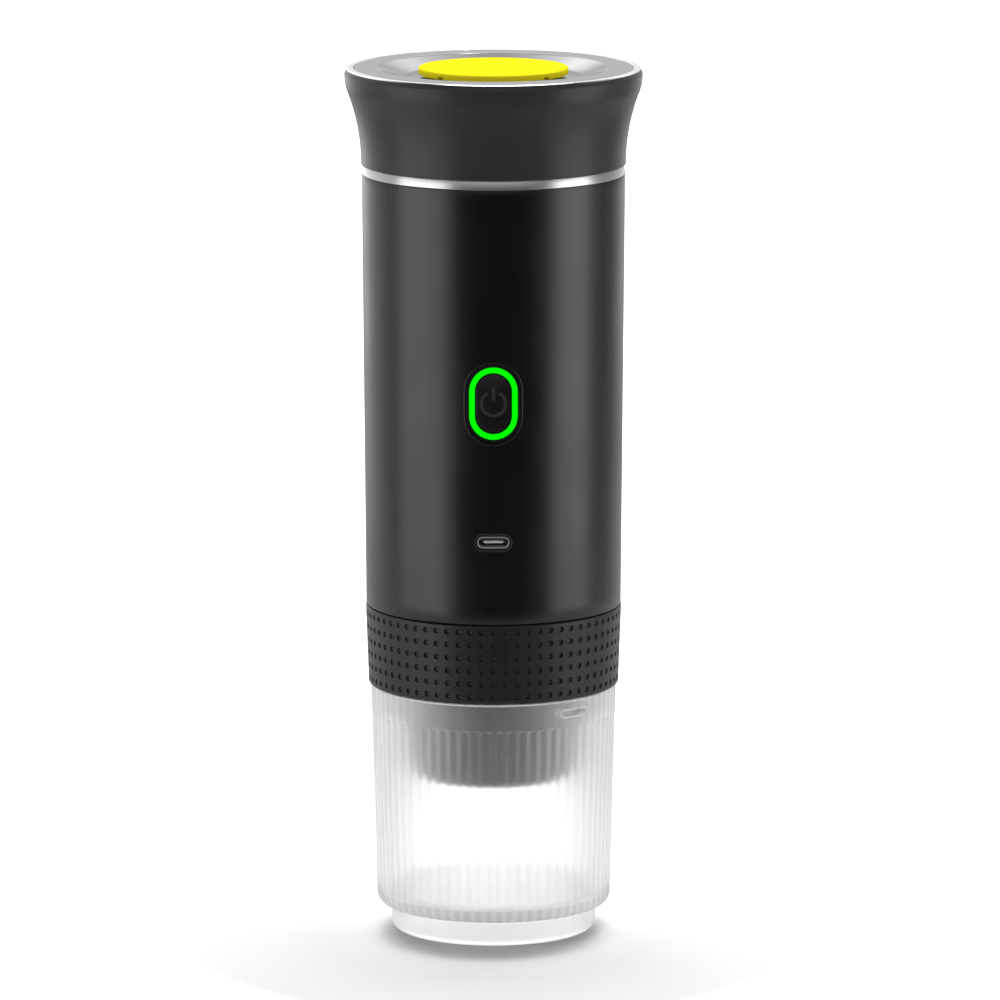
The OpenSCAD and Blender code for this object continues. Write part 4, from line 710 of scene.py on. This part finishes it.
# The tongue inside it is of liquid crystal polymer: pale grey and dull.
tongue_grey = grained("grey_liquid_crystal_polymer", "#d6d6d6", {"Roughness": 0.45},
                      size=0.3, height=0.004, strength=0.2)
pill_piece("port_tongue_round", [
    (0, 0, -33.83), (5.3, 0.5, -33.83), (5.45, 0.62, -33.65), (5.45, 0.62, -27.74), (0, 0, -27.74)],
    PORT_HIGH, "main", "black_plastic", tongue_grey, ["port_tongue"])
# Soft ring of dull grey silicone, whose front is a funnel from the sleeve down to the shell.
soft_ring = grained("grey_silicone", "#333333", {"Roughness": 0.45}, size=0.4, height=0.01)
funnel = np.concatenate([
    pill_loops([(10.3, 5.0, -30.73)], PORT_HIGH),
    on_sleeve([(10.35, 5.05, 0.3), (10.35, 5.05, 0.06), (10.2, 4.9, 0.08)], PORT_HIGH),
    pill_loops([(9.2, 3.52, -34.12), (9.14, 3.46, -34.0), (9.14, 3.46, -30.73)], PORT_HIGH)])
piece("port_gasket_soft", funnel, grid_faces(*funnel.shape[:2], True, True),
      "main", "black_silicone", soft_ring, ["port_gasket"])

# --- Tank and neck ring -------------------------------------------------------------------------
# Moulded water tank in the top of the sleeve, with the lid's thread round its neck. A bright aluminium ring
# covers the joint between sleeve and lid.
LID_LEAD, LID_STARTS = 8.0, 2
# Tinted copolyester: bluish grey, half gloss.
tank_plastic = grained("tank_copolyester", "#7e8388", {"Roughness": 0.3}, size=0.8, height=0.02)
paint(tank_plastic, "water_tank")
piece("tank_thread", *screw_ridges(wall=30.0, crest=30.9, low=215.0, high=227.2, lead=LID_LEAD,
                                  starts=LID_STARTS, shift=0.0),
      "main", "tank_plastic", tank_plastic)
# Brushed aluminium, lacquered: fine level lines, bright in two broad fans.
ring_aluminium, tree, shader = finish("brushed_aluminium", "#c2c2c2", {
    "Roughness": 0.3, "Metallic": 0.8, "Anisotropic": 0.3, "Anisotropic Rotation": 0.25})
level = add(tree, "ShaderNodeMapping", {"Vector": add(tree, "ShaderNodeTexCoord").outputs["Object"],
                                        "Scale": (0.02, 0.02, 1.0)})
lines = add(tree, "ShaderNodeTexNoise", {"Vector": level.outputs[0], "Scale": 1000 / 0.12, "Detail": 2.0})
bump = add(tree, "ShaderNodeBump", {"Height": lines.outputs["Fac"], "Strength": 0.3, "Distance": 0.02 / 1000})
tree.links.new(bump.outputs["Normal"], shader.inputs["Normal"])
turned_piece("neck_ring_bright", outline(
    line((30.1, 210.4), (35.75, 210.4)), arc(35.8, 210.6, 0.2, -90, 12, 4), arc(35.35, 212.75, 0.2, 12, 90, 4),
    line((35.2, 212.95), (30.1, 212.95))), "main", "neck_metal", ring_aluminium, ["neck_ring"])

# --- Lid ----------------------------------------------------------------------------------------
# Black shell that flares out to its lip, over a liner with the screw thread. A spun aluminium plate with
# a shallow bowl lies in it, and a bright rounded ring is pressed in between plate and lip.
SKIRT_R, LIP_R, LID_LOW, LIP_HIGH = 36.18, 40.72, 212.95, 237.6
FLARE_OUT, FLARE_IN, FLARE_TURN = 55.352, 13.838, 20.866
flare_low = arc(SKIRT_R + FLARE_OUT, LID_LOW, FLARE_OUT, 180, 180 - FLARE_TURN, 20)
flare_high = arc(LIP_R - FLARE_IN, LIP_HIGH, FLARE_IN, -FLARE_TURN, 0, 14)
# Grained ABS: dark grey rather than black, half gloss.
lid_black = grained("black_grained_abs", "#3a3a3a", {"Roughness": 0.34, "Specular IOR Level": 0.21},
                    size=0.5, height=0.02)
turned_piece("lid_shell_flared", outline(
    line((33.1, 233.25), (33.1, LID_LOW), (SKIRT_R - 0.2, LID_LOW)), arc(SKIRT_R - 0.2, LID_LOW + 0.2, 0.2, -90, -5, 4),
    flare_low[1:], flare_high, line((LIP_R, 237.8), (40.64, 238.08), (40.22, 238.9), (39.95, 238.92), (39.95, 238.15),
    (39.42, 238.15), (39.42, 236.85), (36.44, 236.85), (36.44, 235.75), (4.5, 235.75), (4.5, 233.25), (33.0, 233.25))),
    "lid", "lid_black", lid_black, ["lid_shell"])
paint(black_polypropylene, "lid_liner")
piece("liner_thread", *screw_ridges(wall=31.4, crest=30.5, low=215.2, high=227.4, lead=LID_LEAD,
                                   starts=LID_STARTS, shift=2.0),
      "lid", "black_plastic", black_polypropylene)

# Spun aluminium, anodised: smooth and grey, a slightly blurred mirror.
plate_aluminium = grained("spun_anodised_aluminium", "#b0b0b0", {
    "Roughness": 0.13, "Metallic": 1.0, "Specular Tint": linear("#dedede")}, size=0.3, height=0.002, strength=0.1)
bowl = outline(arc(31.9, 238.15, 1.2, 90, 111, 6), line((31.4, 239.2), (25.0, 236.95), n=6),
               arc(24.0, 239.25, 2.5, -68, -90, 6))
turned_piece("lid_plate_spun", outline(
    line((38.14, 238.35), (38.14, 239.25), (38.04, 239.35)), line((38.0, 239.35), (32.0, 239.35), n=5), bowl,
    line((23.9, 236.75), (4.6, 236.75), n=8), line((4.5, 236.65), (4.5, 235.75), (24.3, 235.75), (32.0, 238.3))),
    "lid", "plate_metal", plate_aluminium, ["lid_plate"], sharp=25)
# Bright cut aluminium: polished, it mirrors the soft boxes.
rim_aluminium = grained("bright_cut_aluminium", "#e6e6e6", {"Roughness": 0.15, "Metallic": 1.0},
                        size=0.3, height=0.002, strength=0.1)
turned_piece("rim_ring_round", outline(
    line((36.54, 236.85), (39.32, 236.85), (39.32, 238.25), (39.85, 238.25), (39.85, 238.95), (40.15, 238.97)),
    arc(39.58, 238.75, 0.64, 23, 90, 8), arc(38.44, 239.19, 0.2, 90, 180, 4),
    line((38.24, 239.1), (38.24, 238.35), (36.54, 238.35))),
    "lid", "rim_metal", rim_aluminium, ["rim_ring"], sharp=30)

# --- Vent ---------------------------------------------------------------------------------------
# Soft yellow silicone disc, moulded in one with a boss in four quarters and a stem with a stop. It pulls up
# to let air into the tank, through four small notches in its lower edge.
VENT_LOW, VENT_R, NOTCH_IN, NOTCH_HALF, NOTCH_TOP = 237.7, 20.45, 12.0, 2.6, 238.4
NOTCH_TURNS = np.array([45, 135, 225, 315])
# Silicone: one plain strong yellow, with no gloss.
yellow_silicone = grained("yellow_silicone", "#ffee24", {"Roughness": 0.8, "Specular IOR Level": 0.0},
                          size=0.4, height=0.01, strength=0.2)
vent_turns = np.unique(np.r_[ROUND, (NOTCH_TURNS[:, None] + NOTCH_HALF * np.array([-1.04, -1, 1, 1.04])).ravel()])
vent_path = outline(
    line((0.0, VENT_LOW), (NOTCH_IN, VENT_LOW), (NOTCH_IN + 0.05, VENT_LOW), (20.25, VENT_LOW)),
    arc(20.25, VENT_LOW + 0.2, 0.2, -90, 0, 3), line((VENT_R, NOTCH_TOP), (VENT_R, 239.0)),
    arc(19.95, 239.0, 0.5, 0, 90, 6), line((19.0, 239.5), (0.0, 239.5), n=4))
vent_points = carried_round(vent_path, vent_turns)
# In a notch the lower rows of the disc are lifted to the notch's top.
in_notch = np.abs(vent_turns[None, :] - NOTCH_TURNS[:, None]).min(0) < NOTCH_HALF * 1.01
lifted = (vent_path[:, 0] > NOTCH_IN + 0.02)[:, None] & in_notch[None, :]
vent_points[..., 2] = np.where(lifted, np.maximum(vent_points[..., 2], NOTCH_TOP), vent_points[..., 2])
piece("vent_disc", vent_points, grid_faces(len(vent_path), len(vent_turns), False, True),
      "vent", "yellow_silicone", yellow_silicone, ["vent_cap"])
turned_piece("vent_stem", outline(
    line((0.0, 224.35), (4.6, 224.35), (5.4, 225.35), (5.4, 226.35), (3.8, 226.35), (3.8, 237.75), (0.0, 237.75))),
    "vent", "yellow_silicone", yellow_silicone)
# Each quarter of the boss lies between two channels 4 mm wide: u and v both over 2, within a radius of 17.
CHANNEL_HALF, BOSS_R, BOSS_TURN, BOSS_LOW, BOSS_HIGH = 2.0, 17.0, 6.76, 236.75, 237.75
corner = np.concatenate([[[CHANNEL_HALF, CHANNEL_HALF]], arc(0, 0, BOSS_R, BOSS_TURN, 90 - BOSS_TURN, 20)])
turn = np.radians(45 + 90 * np.arange(4))[:, None, None]
u, v = corner[None, None, :, 0], corner[None, None, :, 1]
level = np.array([BOSS_LOW, BOSS_HIGH])[None, :, None]
piece("vent_boss", *closed_bars(np.stack(np.broadcast_arrays(
    u * np.cos(turn) - v * np.sin(turn), u * np.sin(turn) + v * np.cos(turn), level), -1)),
    "vent", "yellow_silicone", yellow_silicone)
